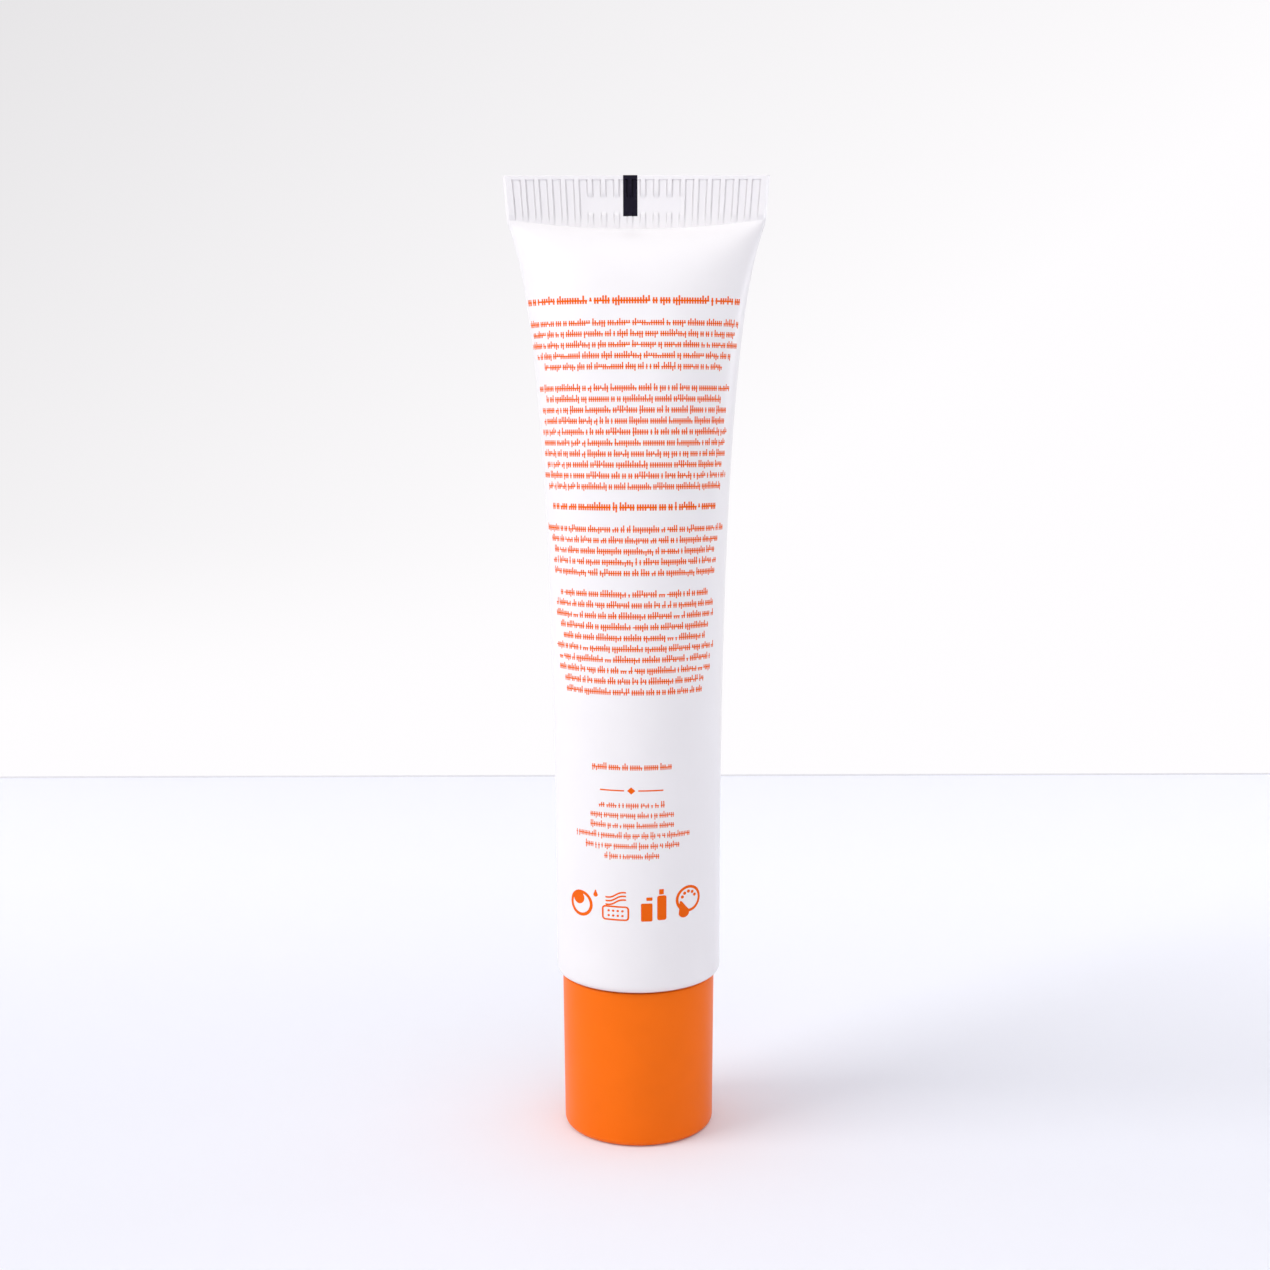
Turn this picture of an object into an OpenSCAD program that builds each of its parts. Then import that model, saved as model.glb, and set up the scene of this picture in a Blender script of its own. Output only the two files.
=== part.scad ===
// Squeeze tube for a skin cream, standing on its screw cap.
// The sleeve is a thin round tube at the shoulder and a flat ribbed seal at the top.
// Its girth is the same at every height, as that of a real tube is.
// Origin: centre of the cap's end, on the surface that it stands on. +Z is up, -Y is the front.

/* [Sleeve] */
// Outside diameter of the tube at its shoulder
tube_d = 25; // [22:0.5:40]
// Wall of the sleeve
wall = 0.5; // [0.3:0.05:0.8]
// Length of the sleeve from its shoulder to the foot of the seal
body_len = 113; // [80:1:160]
// Rounding of the sleeve's lower edge
edge_r = 1.2; // [1:0.1:2]
// How far up the tube stays round before it flattens
belly = 2.7; // [2:0.1:4]
// How full the tube stays close to its seal
fullness = 22; // [8:1:40]

/* [End seal] */
// Height of the flat seal at its two sides
fin_h = 6.3; // [4:0.1:10]
// How much lower the seal reaches in the middle
fin_dip = 1.4; // [0.2:0.1:2.5]
// How much each side of the seal spreads from its foot to its top
fin_flare = 0.55; // [0:0.05:1]
// Length below the seal over which that spread fades out
flare_fade = 14; // [5:1:30]
// Number of ribs pressed into the seal
rib_count = 20; // [8:1:30]
// Width of one rib
rib_w = 0.78; // [0.3:0.02:1.1]
// Height of a rib over the seal's face
rib_h = 0.15; // [0.05:0.05:0.3]
// Height of the plain band along the top edge, above the ribs
band_h = 0.6; // [0.2:0.1:0.9]
// Width of the smooth strip across the ribs of the front
strip_w = 14.4; // [4:0.2:20]
// Height of that strip
strip_h = 2.3; // [1:0.1:3]
// Distance from the top edge to the strip
strip_drop = 3.1; // [1:0.1:4]
// Sideways place of the strip's centre
strip_x = -0.65; // [-4:0.05:4]

/* [Shoulder and neck] */
// Diameter of the neck over its thread
neck_d = 15; // [12:0.5:16]
// Length of the neck below the shoulder
neck_len = 10; // [8:0.5:13]
// Wall of the neck at its root
neck_wall = 1.6; // [1.2:0.1:2.4]
// Diameter of the mouth
mouth_d = 5; // [2:0.5:7]
// Thickness of the lip round the mouth
lip_t = 1.2; // [0.8:0.1:2]
// Thickness of the shoulder
shoulder_t = 1.4; // [1:0.1:2]
// Rise of the shoulder's inner cone towards the sleeve
cone_rise = 1.1; // [0.4:0.1:2]
// Height of the skirt that is welded into the sleeve
weld_h = 4; // [3:0.5:6]
// Wall of that skirt
weld_wall = 1; // [0.6:0.1:1.4]

/* [Cap] */
// Diameter of the cap at its open rim
cap_d = 23.2; // [22:0.1:24.5]
// Height of the cap
cap_len = 23.8; // [21:0.1:32]
// Draft of the cap's outside, as the drop in radius from rim to end
cap_draft = 0.2; // [0:0.05:0.5]
// Wall of the cap's outer shell
cap_wall = 1.3; // [1:0.1:1.6]
// Rounding of the cap's end
end_r = 1; // [0.4:0.1:2]
// Thickness of the cap's end
end_t = 1.8; // [1.4:0.1:2.6]
// Depth of the shallow dish in the end
dish_t = 0.4; // [0.2:0.1:0.8]
// Diameter of that dish
dish_d = 17; // [8:0.5:18]
// Wall of the threaded socket
socket_wall = 1.2; // [0.8:0.1:1.4]
// How far the socket's mouth lies below the cap's rim
socket_drop = 1; // [0.5:0.1:3]
// Width of the ledge that carries the sealing disc
ledge_w = 2.4; // [1:0.1:3]
// Number of webs between the socket and the shell
web_count = 12; // [4:1:16]
// Thickness of a web
web_t = 0.8; // [0.6:0.1:1.2]
// How far the webs stop below the cap's rim
web_drop = 3; // [2:0.5:8]

/* [Sealing disc and filling] */
// Thickness of the sealing disc
disc_t = 1; // [0.6:0.1:2]
// Part of the sleeve's length that the cream fills
fill_share = 0.84; // [0.3:0.02:0.94]

/* [Clearances] */
// Gap between the cap's rim and the shoulder
rim_gap = 0.2; // [0.1:0.05:0.5]
// Play between the neck and the socket, on the radius
thread_play = 0.08; // [0.02:0.01:0.1]
// Play of the sealing disc in the socket, on the radius
disc_play = 0.3; // [0.1:0.05:0.6]
// Play between the shoulder's skirt and the sleeve, on the radius
weld_play = 0.03; // [0.02:0.01:0.06]
// Gap between the cream and the walls round it
cream_play = 0.15; // [0.1:0.05:0.3]

/* [Hidden] */
$fn = 96;

// Number of points in one ring of the sleeve, and of rings along it
RING_SIDES = 64;
RING_ROWS = 22;
// Rings crowd towards the seal, where the sleeve bends most
ROW_CROWDING = 1.6;
// Steps of the bisection that finds a ring's width
SEARCH_STEPS = 30;
// Segments in a rounded edge and in the seal's curved foot
EDGE_STEPS = 5;
FOOT_STEPS = 24;
// How far one solid runs into the next where they are one piece
OVERLAP = 0.4;
// How far the sleeve's skin stays inside the faces of the seal
TUCK = 0.03;
// Half thickness of the hollow where it ends under the seal
HOLLOW_END = 0.12;
// How quickly the bend of the seal's foot dies away down the tube
DIP_POWER = 30;

tube_r = tube_d / 2;
mid_r = tube_r - wall / 2;
full_girth = 2 * PI * mid_r;

// Heights, from the surface up
shoulder_z = cap_len + rim_gap;
mouth_z = shoulder_z - neck_len;
ledge_z = mouth_z - disc_t;
foot_z = shoulder_z + body_len;
top_z = foot_z + fin_h;

// Radii of the neck, the socket and the disc, each from the one it fits
neck_r = neck_d / 2;
mouth_r = mouth_d / 2;
neck_hollow_r = neck_r - neck_wall;
socket_r = neck_r + thread_play;
socket_out_r = socket_r + socket_wall;
chamber_r = socket_r - ledge_w;
disc_r = socket_r - disc_play;
rim_r = cap_d / 2;
end_face_r = rim_r - cap_draft;

// The skirt of the shoulder sits inside the sleeve and its curled edge
skirt_r = tube_r - wall - weld_play;
skirt_in_r = skirt_r - weld_wall;
curl_r = tube_r - edge_r;

// Girth of an ellipse from its two half axes, by Ramanujan's second rule
function girth(a, b) =
    let (h = pow((a - b) / (a + b), 2))
    PI * (a + b) * (1 + 3 * h / (10 + sqrt(4 - 3 * h)));

// Half width of the ring whose half depth is b and whose girth is the tube's
function half_width(b, low, high, steps) =
    let (mid = (low + high) / 2)
    steps == 0 ? mid :
    girth(mid, b) > full_girth ? half_width(b, low, mid, steps - 1) : half_width(b, mid, high, steps - 1);

// Half depth of the wall's middle, at a share t of the way from shoulder to seal
function half_depth(t) =
    let (foot = wall / 2 - TUCK)
    foot + (mid_r - foot) * ln(1 + fullness * (1 - pow(t, belly))) / ln(1 + fullness);

// How much the flare takes off each side at a height
function flare_at(z) = z > foot_z ? fin_flare * (top_z - z) / fin_h : fin_flare * exp((z - foot_z) / flare_fade);

// How much a point lies lower because the seal's foot is curved
function dip_at(x, half, t) = fin_dip * (1 - pow(x / half, 2)) * pow(t, DIP_POWER);

// A ring of the sleeve, inset from its outer face
function sleeve_ring(t, inset) =
    let (z = shoulder_z + t * body_len)
    let (b_mid = half_depth(t))
    let (a = half_width(b_mid, mid_r, 2 * mid_r, SEARCH_STEPS) + wall / 2 - flare_at(z) - inset)
    let (b = b_mid + wall / 2 - inset)
    [for (i = [0:RING_SIDES - 1])
        let (turn = 360 * i / RING_SIDES)
        let (x = a * cos(turn))
        [x, b * sin(turn), z - dip_at(x, a, t)]];

// A round ring
function round_ring(r, z) =
    [for (i = [0:RING_SIDES - 1]) [r * cos(360 * i / RING_SIDES), r * sin(360 * i / RING_SIDES), z]];

// The sleeve's stations between two shares of its length
function stations(first, last) =
    concat(
        [first],
        [for (i = [0:RING_ROWS])
            let (t = 1 - pow(1 - i / RING_ROWS, ROW_CROWDING))
            if (t > first + 0.01 && t < last - 0.001) t],
        [last]);

// A share of the length where the outer half depth is the given one, by bisection
function share_at_depth(b, low, high, steps) =
    let (mid = (low + high) / 2)
    steps == 0 ? mid :
    half_depth(mid) + wall / 2 > b ? share_at_depth(b, mid, high, steps - 1)
                                   : share_at_depth(b, low, mid, steps - 1);

function reversed(list) = [for (i = [len(list) - 1:-1:0]) list[i]];

// A closed solid through a run of rings, with an end cap at each end of the run
module skin(rings) {
    n = RING_SIDES;
    rows = len(rings);
    points = [for (ring = rings) for (point = ring) point];
    walls = [for (r = [0:rows - 2]) for (i = [0:n - 1])
        let (j = (i + 1) % n)
        for (face = [[r * n + i, (r + 1) * n + i, (r + 1) * n + j], [r * n + i, (r + 1) * n + j, r * n + j]])
            face];
    // An end cap is a row of strips across the ring, because the ring need not be flat
    strips = [for (i = [0:n / 2 - 1])
        let (left = i)
        let (right = (n - i) % n)
        i == 0 ? [left, i + 1, n - 1] :
        i == n / 2 - 1 ? [left, i + 1, right] : [left, i + 1, n - i - 1, right]];
    first_cap = strips;
    last_cap = [for (strip = strips) [for (k = reversed(strip)) k + (rows - 1) * n]];
    polyhedron(points = points, faces = concat(walls, first_cap, last_cap), convexity = 6);
}

// Points of an arc, for outlines
function arc(x, y, r, from, to, steps) =
    [for (i = [0:steps]) let (turn = from + (to - from) * i / steps) [x + r * cos(turn), y + r * sin(turn)]];

// Front view of the seal: straight top, spreading sides and a curved foot
module fin_outline() {
    half_top = half_width(wall / 2 - TUCK, mid_r, 2 * mid_r, SEARCH_STEPS) + wall / 2;
    half_foot = half_top - fin_flare;
    foot = [for (i = [0:FOOT_STEPS])
        let (x = half_foot * (2 * i / FOOT_STEPS - 1))
        [x, foot_z - fin_dip * (1 - pow(x / half_foot, 2))]];
    polygon(concat(foot, [[half_top, top_z], [-half_top, top_z]]));
}

module fin() {
    half_top = half_width(wall / 2 - TUCK, mid_r, 2 * mid_r, SEARCH_STEPS) + wall / 2;
    pitch = 2 * half_top / rib_count;
    ribbed_t = 2 * (wall + rib_h);
    rib_len = fin_h + fin_dip + 2;
    rotate([90, 0, 0])
        linear_extrude(height = 2 * wall, center = true) fin_outline();
    difference() {
        intersection() {
            rotate([90, 0, 0])
                linear_extrude(height = ribbed_t, center = true) fin_outline();
            union() {
                for (i = [0:rib_count - 1])
                    translate([(i + 0.5) * pitch - half_top - rib_w / 2, -ribbed_t, top_z + 1 - rib_len])
                        cube([rib_w, 2 * ribbed_t, rib_len]);
                translate([-half_top - 1, -ribbed_t, top_z - band_h])
                    cube([2 * half_top + 2, 2 * ribbed_t, band_h + 1]);
            }
        }
        translate([strip_x - strip_w / 2, -wall - 1, top_z - strip_drop - strip_h])
            cube([strip_w, 1, strip_h]);
    }
}

module sleeve() {
    // The skin curls in under the shoulder's edge and ends in a small lip
    outer_curl = [for (p = arc(curl_r, shoulder_z + edge_r, edge_r, -90, 0, EDGE_STEPS)) round_ring(p[0], p[1])];
    inner_curl = [for (p = arc(curl_r, shoulder_z + edge_r, edge_r - wall, -90, 0, EDGE_STEPS))
        round_ring(p[0], p[1])];
    first = (edge_r + 0.5) / body_len;
    hollow_last = share_at_depth(wall + HOLLOW_END, 0.9, 1, SEARCH_STEPS);
    outer = [for (t = stations(first, 1)) sleeve_ring(t, 0)];
    inner = [for (t = stations(first, hollow_last)) sleeve_ring(t, wall)];
    // The last ring runs up inside the seal
    buried = [for (point = sleeve_ring(1, TUCK)) point + [0, 0, OVERLAP]];
    color("white") union() {
        skin(concat(reversed(inner), reversed(inner_curl), outer_curl, outer, [buried]));
        fin();
    }
}

module tube_head() {
    skirt_top = shoulder_z + weld_h;
    inner_z = shoulder_z + shoulder_t;
    outline = concat(
        [[mouth_r, mouth_z], [neck_r - 0.5, mouth_z], [neck_r, mouth_z + 0.5], [neck_r, shoulder_z]],
        [[curl_r - weld_play, shoulder_z], [curl_r - weld_play, shoulder_z + wall + weld_play]],
        arc(curl_r, shoulder_z + edge_r, edge_r - wall - weld_play, -90, 0, EDGE_STEPS),
        [[skirt_r, skirt_top], [skirt_in_r, skirt_top]],
        [[skirt_in_r, inner_z + cone_rise], [neck_hollow_r, inner_z]],
        [[mouth_r, mouth_z + lip_t]]);
    color("whitesmoke")
        rotate_extrude() polygon(outline);
}

// The cream fills the mouth, the neck and the shoulder, and the sleeve up to its level
module cream() {
    g = cream_play;
    skirt_top = shoulder_z + weld_h + g;
    inner_z = shoulder_z + shoulder_t + g;
    plug = [
        round_ring(mouth_r - g, mouth_z + g),
        round_ring(mouth_r - g, mouth_z + lip_t + g),
        round_ring(neck_hollow_r - g, inner_z),
        round_ring(skirt_in_r - g, inner_z + cone_rise),
        round_ring(skirt_in_r - g, skirt_top)];
    body = [for (t = stations((weld_h + g) / body_len, fill_share)) sleeve_ring(t, wall + g)];
    color("ivory") skin(concat(plug, body));
}

module seal_disc() {
    color("gainsboro")
        translate([0, 0, ledge_z]) cylinder(h = disc_t, r = disc_r);
}

// Outside of the cap, with its draft and the rounded edge of its end
module cap_shell() {
    rotate_extrude() polygon(concat(
        [[0, dish_t], [dish_d / 2, dish_t], [dish_d / 2 + dish_t, 0]],
        arc(end_face_r - end_r, end_r, end_r, -90, 0, EDGE_STEPS),
        [[rim_r, cap_len - 0.3], [rim_r - 0.3, cap_len], [rim_r - cap_wall, cap_len]],
        [[end_face_r - cap_wall, end_t], [0, end_t]]));
}

// Socket for the neck: a bore, a ledge for the disc, and a smaller chamber below
module cap_socket() {
    rotate_extrude() polygon([
        [chamber_r, end_t - OVERLAP], [socket_out_r, end_t - OVERLAP],
        [socket_out_r, cap_len - socket_drop], [socket_r, cap_len - socket_drop],
        [socket_r, ledge_z], [chamber_r, ledge_z]]);
}

module cap() {
    web_h = cap_len - web_drop - end_t + OVERLAP;
    web_len = end_face_r - cap_wall - socket_out_r + 2 * OVERLAP;
    color([0.96, 0.42, 0.06]) union() {
        cap_shell();
        cap_socket();
        for (i = [0:web_count - 1])
            rotate([0, 0, 360 * i / web_count])
                translate([socket_out_r - OVERLAP, -web_t / 2, end_t - OVERLAP])
                    cube([web_len, web_t, web_h]);
    }
}

cap();
seal_disc();
tube_head();
sleeve();
cream();
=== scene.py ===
"""Looks of a squeeze tube for a skin cream that stands on its screw cap.

Lengths are in metres, written as millimetres times MM. The origin is the centre of the cap's end,
on the surface that it stands on. +Z is up and -Y is the printed front.
"""
from __future__ import annotations

import logging
import math
import random
from collections.abc import Iterable, Sequence
from dataclasses import dataclass, replace
from enum import Enum
from typing import Any

import bmesh
import bpy
import numpy as np
from mathutils import Matrix, Vector


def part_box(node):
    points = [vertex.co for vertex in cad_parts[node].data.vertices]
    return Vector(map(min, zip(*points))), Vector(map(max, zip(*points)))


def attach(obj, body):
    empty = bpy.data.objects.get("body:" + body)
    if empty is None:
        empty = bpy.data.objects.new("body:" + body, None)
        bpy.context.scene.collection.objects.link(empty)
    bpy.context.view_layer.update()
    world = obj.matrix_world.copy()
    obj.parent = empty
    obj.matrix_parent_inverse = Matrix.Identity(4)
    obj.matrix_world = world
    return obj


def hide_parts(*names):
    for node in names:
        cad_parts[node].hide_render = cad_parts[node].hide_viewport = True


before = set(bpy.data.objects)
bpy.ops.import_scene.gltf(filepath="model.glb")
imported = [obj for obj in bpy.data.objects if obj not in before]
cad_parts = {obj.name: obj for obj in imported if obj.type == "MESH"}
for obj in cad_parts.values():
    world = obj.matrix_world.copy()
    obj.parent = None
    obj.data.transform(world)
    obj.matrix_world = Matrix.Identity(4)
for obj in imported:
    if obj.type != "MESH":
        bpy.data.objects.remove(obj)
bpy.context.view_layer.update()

MM = 0.001
FULL_TURN = 2 * math.pi
WELD = 1e-7
FINE_WELD = 1e-8
LOG = logging.getLogger("squeeze_tube")
Point = tuple[float, float, float]
Inputs = dict[str | int, Any]
Shape = bmesh.types.BMesh
Piece = bpy.types.Object
Socket = bpy.types.NodeSocket


class Body(Enum):
    """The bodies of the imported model."""

    CAP = "cap"
    DISC = "disc"
    TUBE = "tube"


class Slot(Enum):
    """The record's material slots."""

    CAP = "cap_orange"
    DISC = "disc_foam"
    HEAD = "head_white"
    SLEEVE = "sleeve_white"
    CREAM = "cream_fill"
    PRINT = "print_orange"
    MARK = "mark_dark"


class Value:
    """A shader socket that takes part in ordinary arithmetic."""

    def __init__(self, tree: ShaderTree, socket: Socket) -> None:
        """Wraps a socket of a tree."""
        self.tree, self.socket = tree, socket

    def _maths(self, operation: str, first: Value | float, second: Value | float) -> Value:
        """Adds a Math node over two terms."""
        node = self.tree.node("ShaderNodeMath", {"operation": operation}, {0: first, 1: second})
        return Value(self.tree, node.outputs[0])

    def __add__(self, other: Value | float) -> Value:
        """Sum with a value or number."""
        return self._maths("ADD", self, other)

    def __radd__(self, other: float) -> Value:
        """Sum with a number on the left."""
        return self._maths("ADD", other, self)

    def __sub__(self, other: Value | float) -> Value:
        """Difference from a value or number."""
        return self._maths("SUBTRACT", self, other)

    def __rsub__(self, other: float) -> Value:
        """Difference with a number on the left."""
        return self._maths("SUBTRACT", other, self)

    def __mul__(self, other: Value | float) -> Value:
        """Product with a value or number."""
        return self._maths("MULTIPLY", self, other)

    def __rmul__(self, other: float) -> Value:
        """Product with a number on the left."""
        return self._maths("MULTIPLY", other, self)

    def between(self, low: float, high: float) -> Value:
        """Runs a smooth ramp over this value.

        Args:
            low: Where the ramp is 0.
            high: Where the ramp is 1, which may lie below low.

        Returns:
            The ramp, held at 0 and 1 outside.
        """
        ends = {"From Min": min(low, high), "From Max": max(low, high), "Value": self}
        node = self.tree.node("ShaderNodeMapRange", {"interpolation_type": "SMOOTHSTEP"}, ends)
        ramp = Value(self.tree, node.outputs["Result"])
        return 1.0 - ramp if high < low else ramp


class ShaderTree:
    """A material's or the world's node tree, filled from code."""

    def __init__(self, owner: bpy.types.Material | bpy.types.World) -> None:
        """Clears the owner's nodes and keeps its tree.

        Args:
            owner: The material or world.
        """
        owner.use_nodes = True
        self.nodes = owner.node_tree.nodes
        self.links = owner.node_tree.links
        self.nodes.clear()

    def node(
        self, kind: str, settings: dict[str, Any] | None = None, inputs: Inputs | None = None
    ) -> bpy.types.Node:
        """Adds a node.

        Args:
            kind: The node's type.
            settings: Its properties, which are set first.
            inputs: A value, a link or a number for each named or numbered socket.

        Returns:
            The new node.
        """
        node = self.nodes.new(kind)
        for name, setting in (settings or {}).items():
            setattr(node, name, setting)
        for key, given in (inputs or {}).items():
            if isinstance(given, Value):
                self.links.new(given.socket, node.inputs[key])
            elif isinstance(given, Socket):
                self.links.new(given, node.inputs[key])
            else:
                node.inputs[key].default_value = given
        return node

    def place(self, stretched: Point = (1.0, 1.0, 1.0)) -> Socket:
        """Adds object coordinates.

        Args:
            stretched: The factor along each axis.

        Returns:
            The coordinates.
        """
        where = self.node("ShaderNodeTexCoord").outputs["Object"]
        inputs = {"Vector": where, "Scale": stretched}
        return self.node("ShaderNodeMapping", None, inputs).outputs[0]

    def axis(self, name: str) -> Value:
        """One object coordinate, X, Y or Z, in metres."""
        split = self.node("ShaderNodeSeparateXYZ", None, {0: self.place()})
        return Value(self, split.outputs[name])

    def noise(
        self, scale: float, detail: float = 2.0, stretched: Point = (1.0, 1.0, 1.0)
    ) -> Value:
        """Adds noise on object coordinates.

        Args:
            scale: How many features it has in a metre.
            detail: How many finer layers it has.
            stretched: The factor on the coordinates along each axis.

        Returns:
            The noise, from 0 to 1.
        """
        inputs = {
            "Vector": self.place(stretched), "Scale": scale, "Detail": detail, "Roughness": 0.55
        }
        return Value(self, self.node("ShaderNodeTexNoise", None, inputs).outputs[0])

    def held(self, value: Value) -> Value:
        """The value, held between 0 and 1."""
        return Value(self, self.node("ShaderNodeClamp", None, {"Value": value}).outputs[0])

    def blend(self, share: Value | float, first: Any, second: Any) -> Value:
        """Mixes two colours.

        Args:
            share: The share of the second colour.
            first: The first colour, or a link to one.
            second: The second colour, or a link to one.

        Returns:
            The mixed colour.
        """
        first, second = ((*c, 1.0) if isinstance(c, tuple) else c for c in (first, second))
        inputs = {0: share, 6: first, 7: second}
        return Value(self, self.node("ShaderNodeMix", {"data_type": "RGBA"}, inputs).outputs[2])

    def relief(self, height: Value, depth: float, over: Socket | None = None) -> Socket:
        """Adds bump from a height.

        Args:
            height: The height, from 0 to 1.
            depth: How many metres deep it goes.
            over: Another bump that it lies on.

        Returns:
            The bumped normal.
        """
        inputs: Inputs = {"Height": height, "Distance": depth, "Strength": 1.0}
        if over is not None:
            inputs["Normal"] = over
        return self.node("ShaderNodeBump", None, inputs).outputs[0]

    def finish(self, surface: Socket) -> None:
        """Links the surface to the material's output."""
        self.node("ShaderNodeOutputMaterial", None, {"Surface": surface})


@dataclass(frozen=True)
class Finish:
    """A surface finish that turns into one material.

    Attributes:
        name: The material's name.
        slot: The record's slot of the finish.
        colour: Its main colour, linear.
        roughness: Its mean roughness.
    """

    name: str
    slot: Slot
    colour: Point
    roughness: float

    def material(self) -> bpy.types.Material:
        """Looks the material up, or makes it.

        Returns:
            The finish's one material.
        """
        found = bpy.data.materials.get(self.name)
        if found is None:
            found = bpy.data.materials.new(self.name)
            tree = ShaderTree(found)
            shader = tree.node("ShaderNodeBsdfPrincipled", None, self.sockets(tree))
            tree.finish(shader.outputs[0])
        return found

    def toned(self, tree: ShaderTree, share: Value, tone: float) -> Value:
        """The colour, mixed by a share with so bright a tone of itself."""
        return tree.blend(share, self.colour, tuple(tone * c for c in self.colour))

    def sockets(self, tree: ShaderTree) -> Inputs:
        """The shader's inputs, which each kind of finish gives in its own way."""
        raise NotImplementedError


@dataclass(frozen=True)
class SatinSleeve(Finish):
    """Extruded white polyethylene with a faint draw along its length and a soft uneven sheen."""

    def sockets(self, tree: ShaderTree) -> Inputs:
        """Builds the sleeve's look.

        Args:
            tree: The material's nodes.

        Returns:
            The shader's inputs.
        """
        cloud = tree.noise(55.0, 3.0)
        draw = tree.noise(900.0, 2.0, (1.0, 1.0, 0.03))
        drawn = tree.relief(draw, 0.000006, tree.relief(cloud, 0.00016))
        return {
            "Base Color": self.toned(tree, cloud.between(0.35, 0.7), 0.985),
            "Roughness": self.roughness + 0.08 * (cloud - 0.5) + 0.05 * (draw - 0.5),
            "Normal": tree.relief(tree.noise(2600.0), 0.0000025, drawn),
            "IOR": 1.5,
            "Coat Weight": 0.5,
            "Coat Roughness": 0.2,
        }


@dataclass(frozen=True)
class MouldedOrange(Finish):
    """Moulded satin polypropylene, faintly spark-eroded and a little rubbed at its end.

    Attributes:
        rubbed: Its colour where it is rubbed.
    """

    rubbed: Point = (0.93, 0.30, 0.07)

    def sockets(self, tree: ShaderTree) -> Inputs:
        """Builds the cap's look.

        Args:
            tree: The material's nodes.

        Returns:
            The shader's inputs.
        """
        flow = tree.noise(90.0, 3.0)
        scuff = tree.noise(1500.0, 4.0, (1.0, 1.0, 0.35))
        edge = tree.axis("Z").between(1.1 * MM, 0.1 * MM) * scuff.between(0.52, 0.66)
        body = self.toned(tree, flow.between(0.3, 0.75), 0.95)
        return {
            "Base Color": tree.blend(0.45 * edge, body, self.rubbed),
            "Roughness": self.roughness + 0.07 * (flow - 0.5) + 0.15 * edge,
            "Normal": tree.relief(tree.noise(3200.0), 0.000006, tree.relief(flow, 0.00006)),
            "Specular IOR Level": 0.14,
        }


@dataclass(frozen=True)
class ScreenInk(Finish):
    """A thin layer of screen ink, a little uneven in its cover."""

    def sockets(self, tree: ShaderTree) -> Inputs:
        """Builds the ink's look.

        Args:
            tree: The material's nodes.

        Returns:
            The shader's inputs.
        """
        cover = tree.noise(5200.0, 3.0)
        thin = tuple(c + 0.05 * (1.0 - c) for c in self.colour)
        return {
            "Base Color": tree.blend(cover.between(0.6, 0.85), self.colour, thin),
            "Roughness": self.roughness + 0.1 * (cover - 0.5),
            "Specular IOR Level": 0.1,
        }


@dataclass(frozen=True)
class MouldedWhite(Finish):
    """Moulded white polyethylene of the shoulder and neck."""

    def sockets(self, tree: ShaderTree) -> Inputs:
        """Builds the shoulder's look.

        Args:
            tree: The material's nodes.

        Returns:
            The shader's inputs.
        """
        flow = tree.noise(120.0, 3.0)
        return {
            "Base Color": self.toned(tree, flow, 0.96),
            "Roughness": self.roughness + 0.1 * (flow - 0.5),
            "Normal": tree.relief(tree.noise(2800.0), 0.000005),
        }


@dataclass(frozen=True)
class FoamSheet(Finish):
    """Foamed polyethylene sheet with closed cells."""

    def sockets(self, tree: ShaderTree) -> Inputs:
        """Builds the foam's look.

        Args:
            tree: The material's nodes.

        Returns:
            The shader's inputs.
        """
        inputs = {"Vector": tree.place(), "Scale": 2200.0}
        cells = Value(tree, tree.node("ShaderNodeTexVoronoi", None, inputs).outputs["Distance"])
        return {
            "Base Color": self.toned(tree, cells, 0.9),
            "Roughness": self.roughness + 0.1 * cells,
            "Normal": tree.relief(cells, 0.00004),
        }


@dataclass(frozen=True)
class ThickCream(Finish):
    """Thick skin cream with soft folds where it was filled."""

    def sockets(self, tree: ShaderTree) -> Inputs:
        """Builds the cream's look.

        Args:
            tree: The material's nodes.

        Returns:
            The shader's inputs.
        """
        folds = tree.noise(260.0, 3.0, (1.0, 1.0, 0.5))
        return {
            "Base Color": self.toned(tree, folds, 0.95),
            "Roughness": self.roughness + 0.15 * (folds - 0.5),
            "Normal": tree.relief(folds, 0.0003),
        }


SLEEVE_WHITE = SatinSleeve("sleeve_satin_white", Slot.SLEEVE, (0.905, 0.885, 0.893), 0.36)
PRINT_ORANGE = ScreenInk("print_orange", Slot.PRINT, (0.88, 0.13, 0.001), 0.45)
MARK_DARK = ScreenInk("mark_dark", Slot.MARK, (0.006, 0.004, 0.014), 0.4)
CAP_ORANGE = MouldedOrange("cap_satin_orange", Slot.CAP, (0.98, 0.17, 0.001), 0.38)
HEAD_WHITE = MouldedWhite("head_moulded_white", Slot.HEAD, (0.87, 0.87, 0.86), 0.45)
DISC_FOAM = FoamSheet("disc_foam_white", Slot.DISC, (0.86, 0.86, 0.84), 0.62)
CREAM_IVORY = ThickCream("cream_ivory", Slot.CREAM, (0.90, 0.86, 0.76), 0.3)


def to_mesh(name: str, shape: Shape) -> bpy.types.Mesh:
    """Turns a shape into a mesh.

    Args:
        name: The mesh's name.
        shape: The shape, which is freed.

    Returns:
        The mesh.
    """
    mesh = bpy.data.meshes.new(name)
    shape.to_mesh(mesh)
    shape.free()
    return mesh


def add_object(name: str, shape: Shape, material: bpy.types.Material) -> Piece:
    """Puts a shape into the scene.

    Args:
        name: The object's name.
        shape: Its shape, which is freed.
        material: Its one material.

    Returns:
        The object.
    """
    mesh = to_mesh(name, shape)
    mesh.materials.append(material)
    made = bpy.data.objects.new(name, mesh)
    bpy.context.scene.collection.objects.link(made)
    return made


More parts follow.
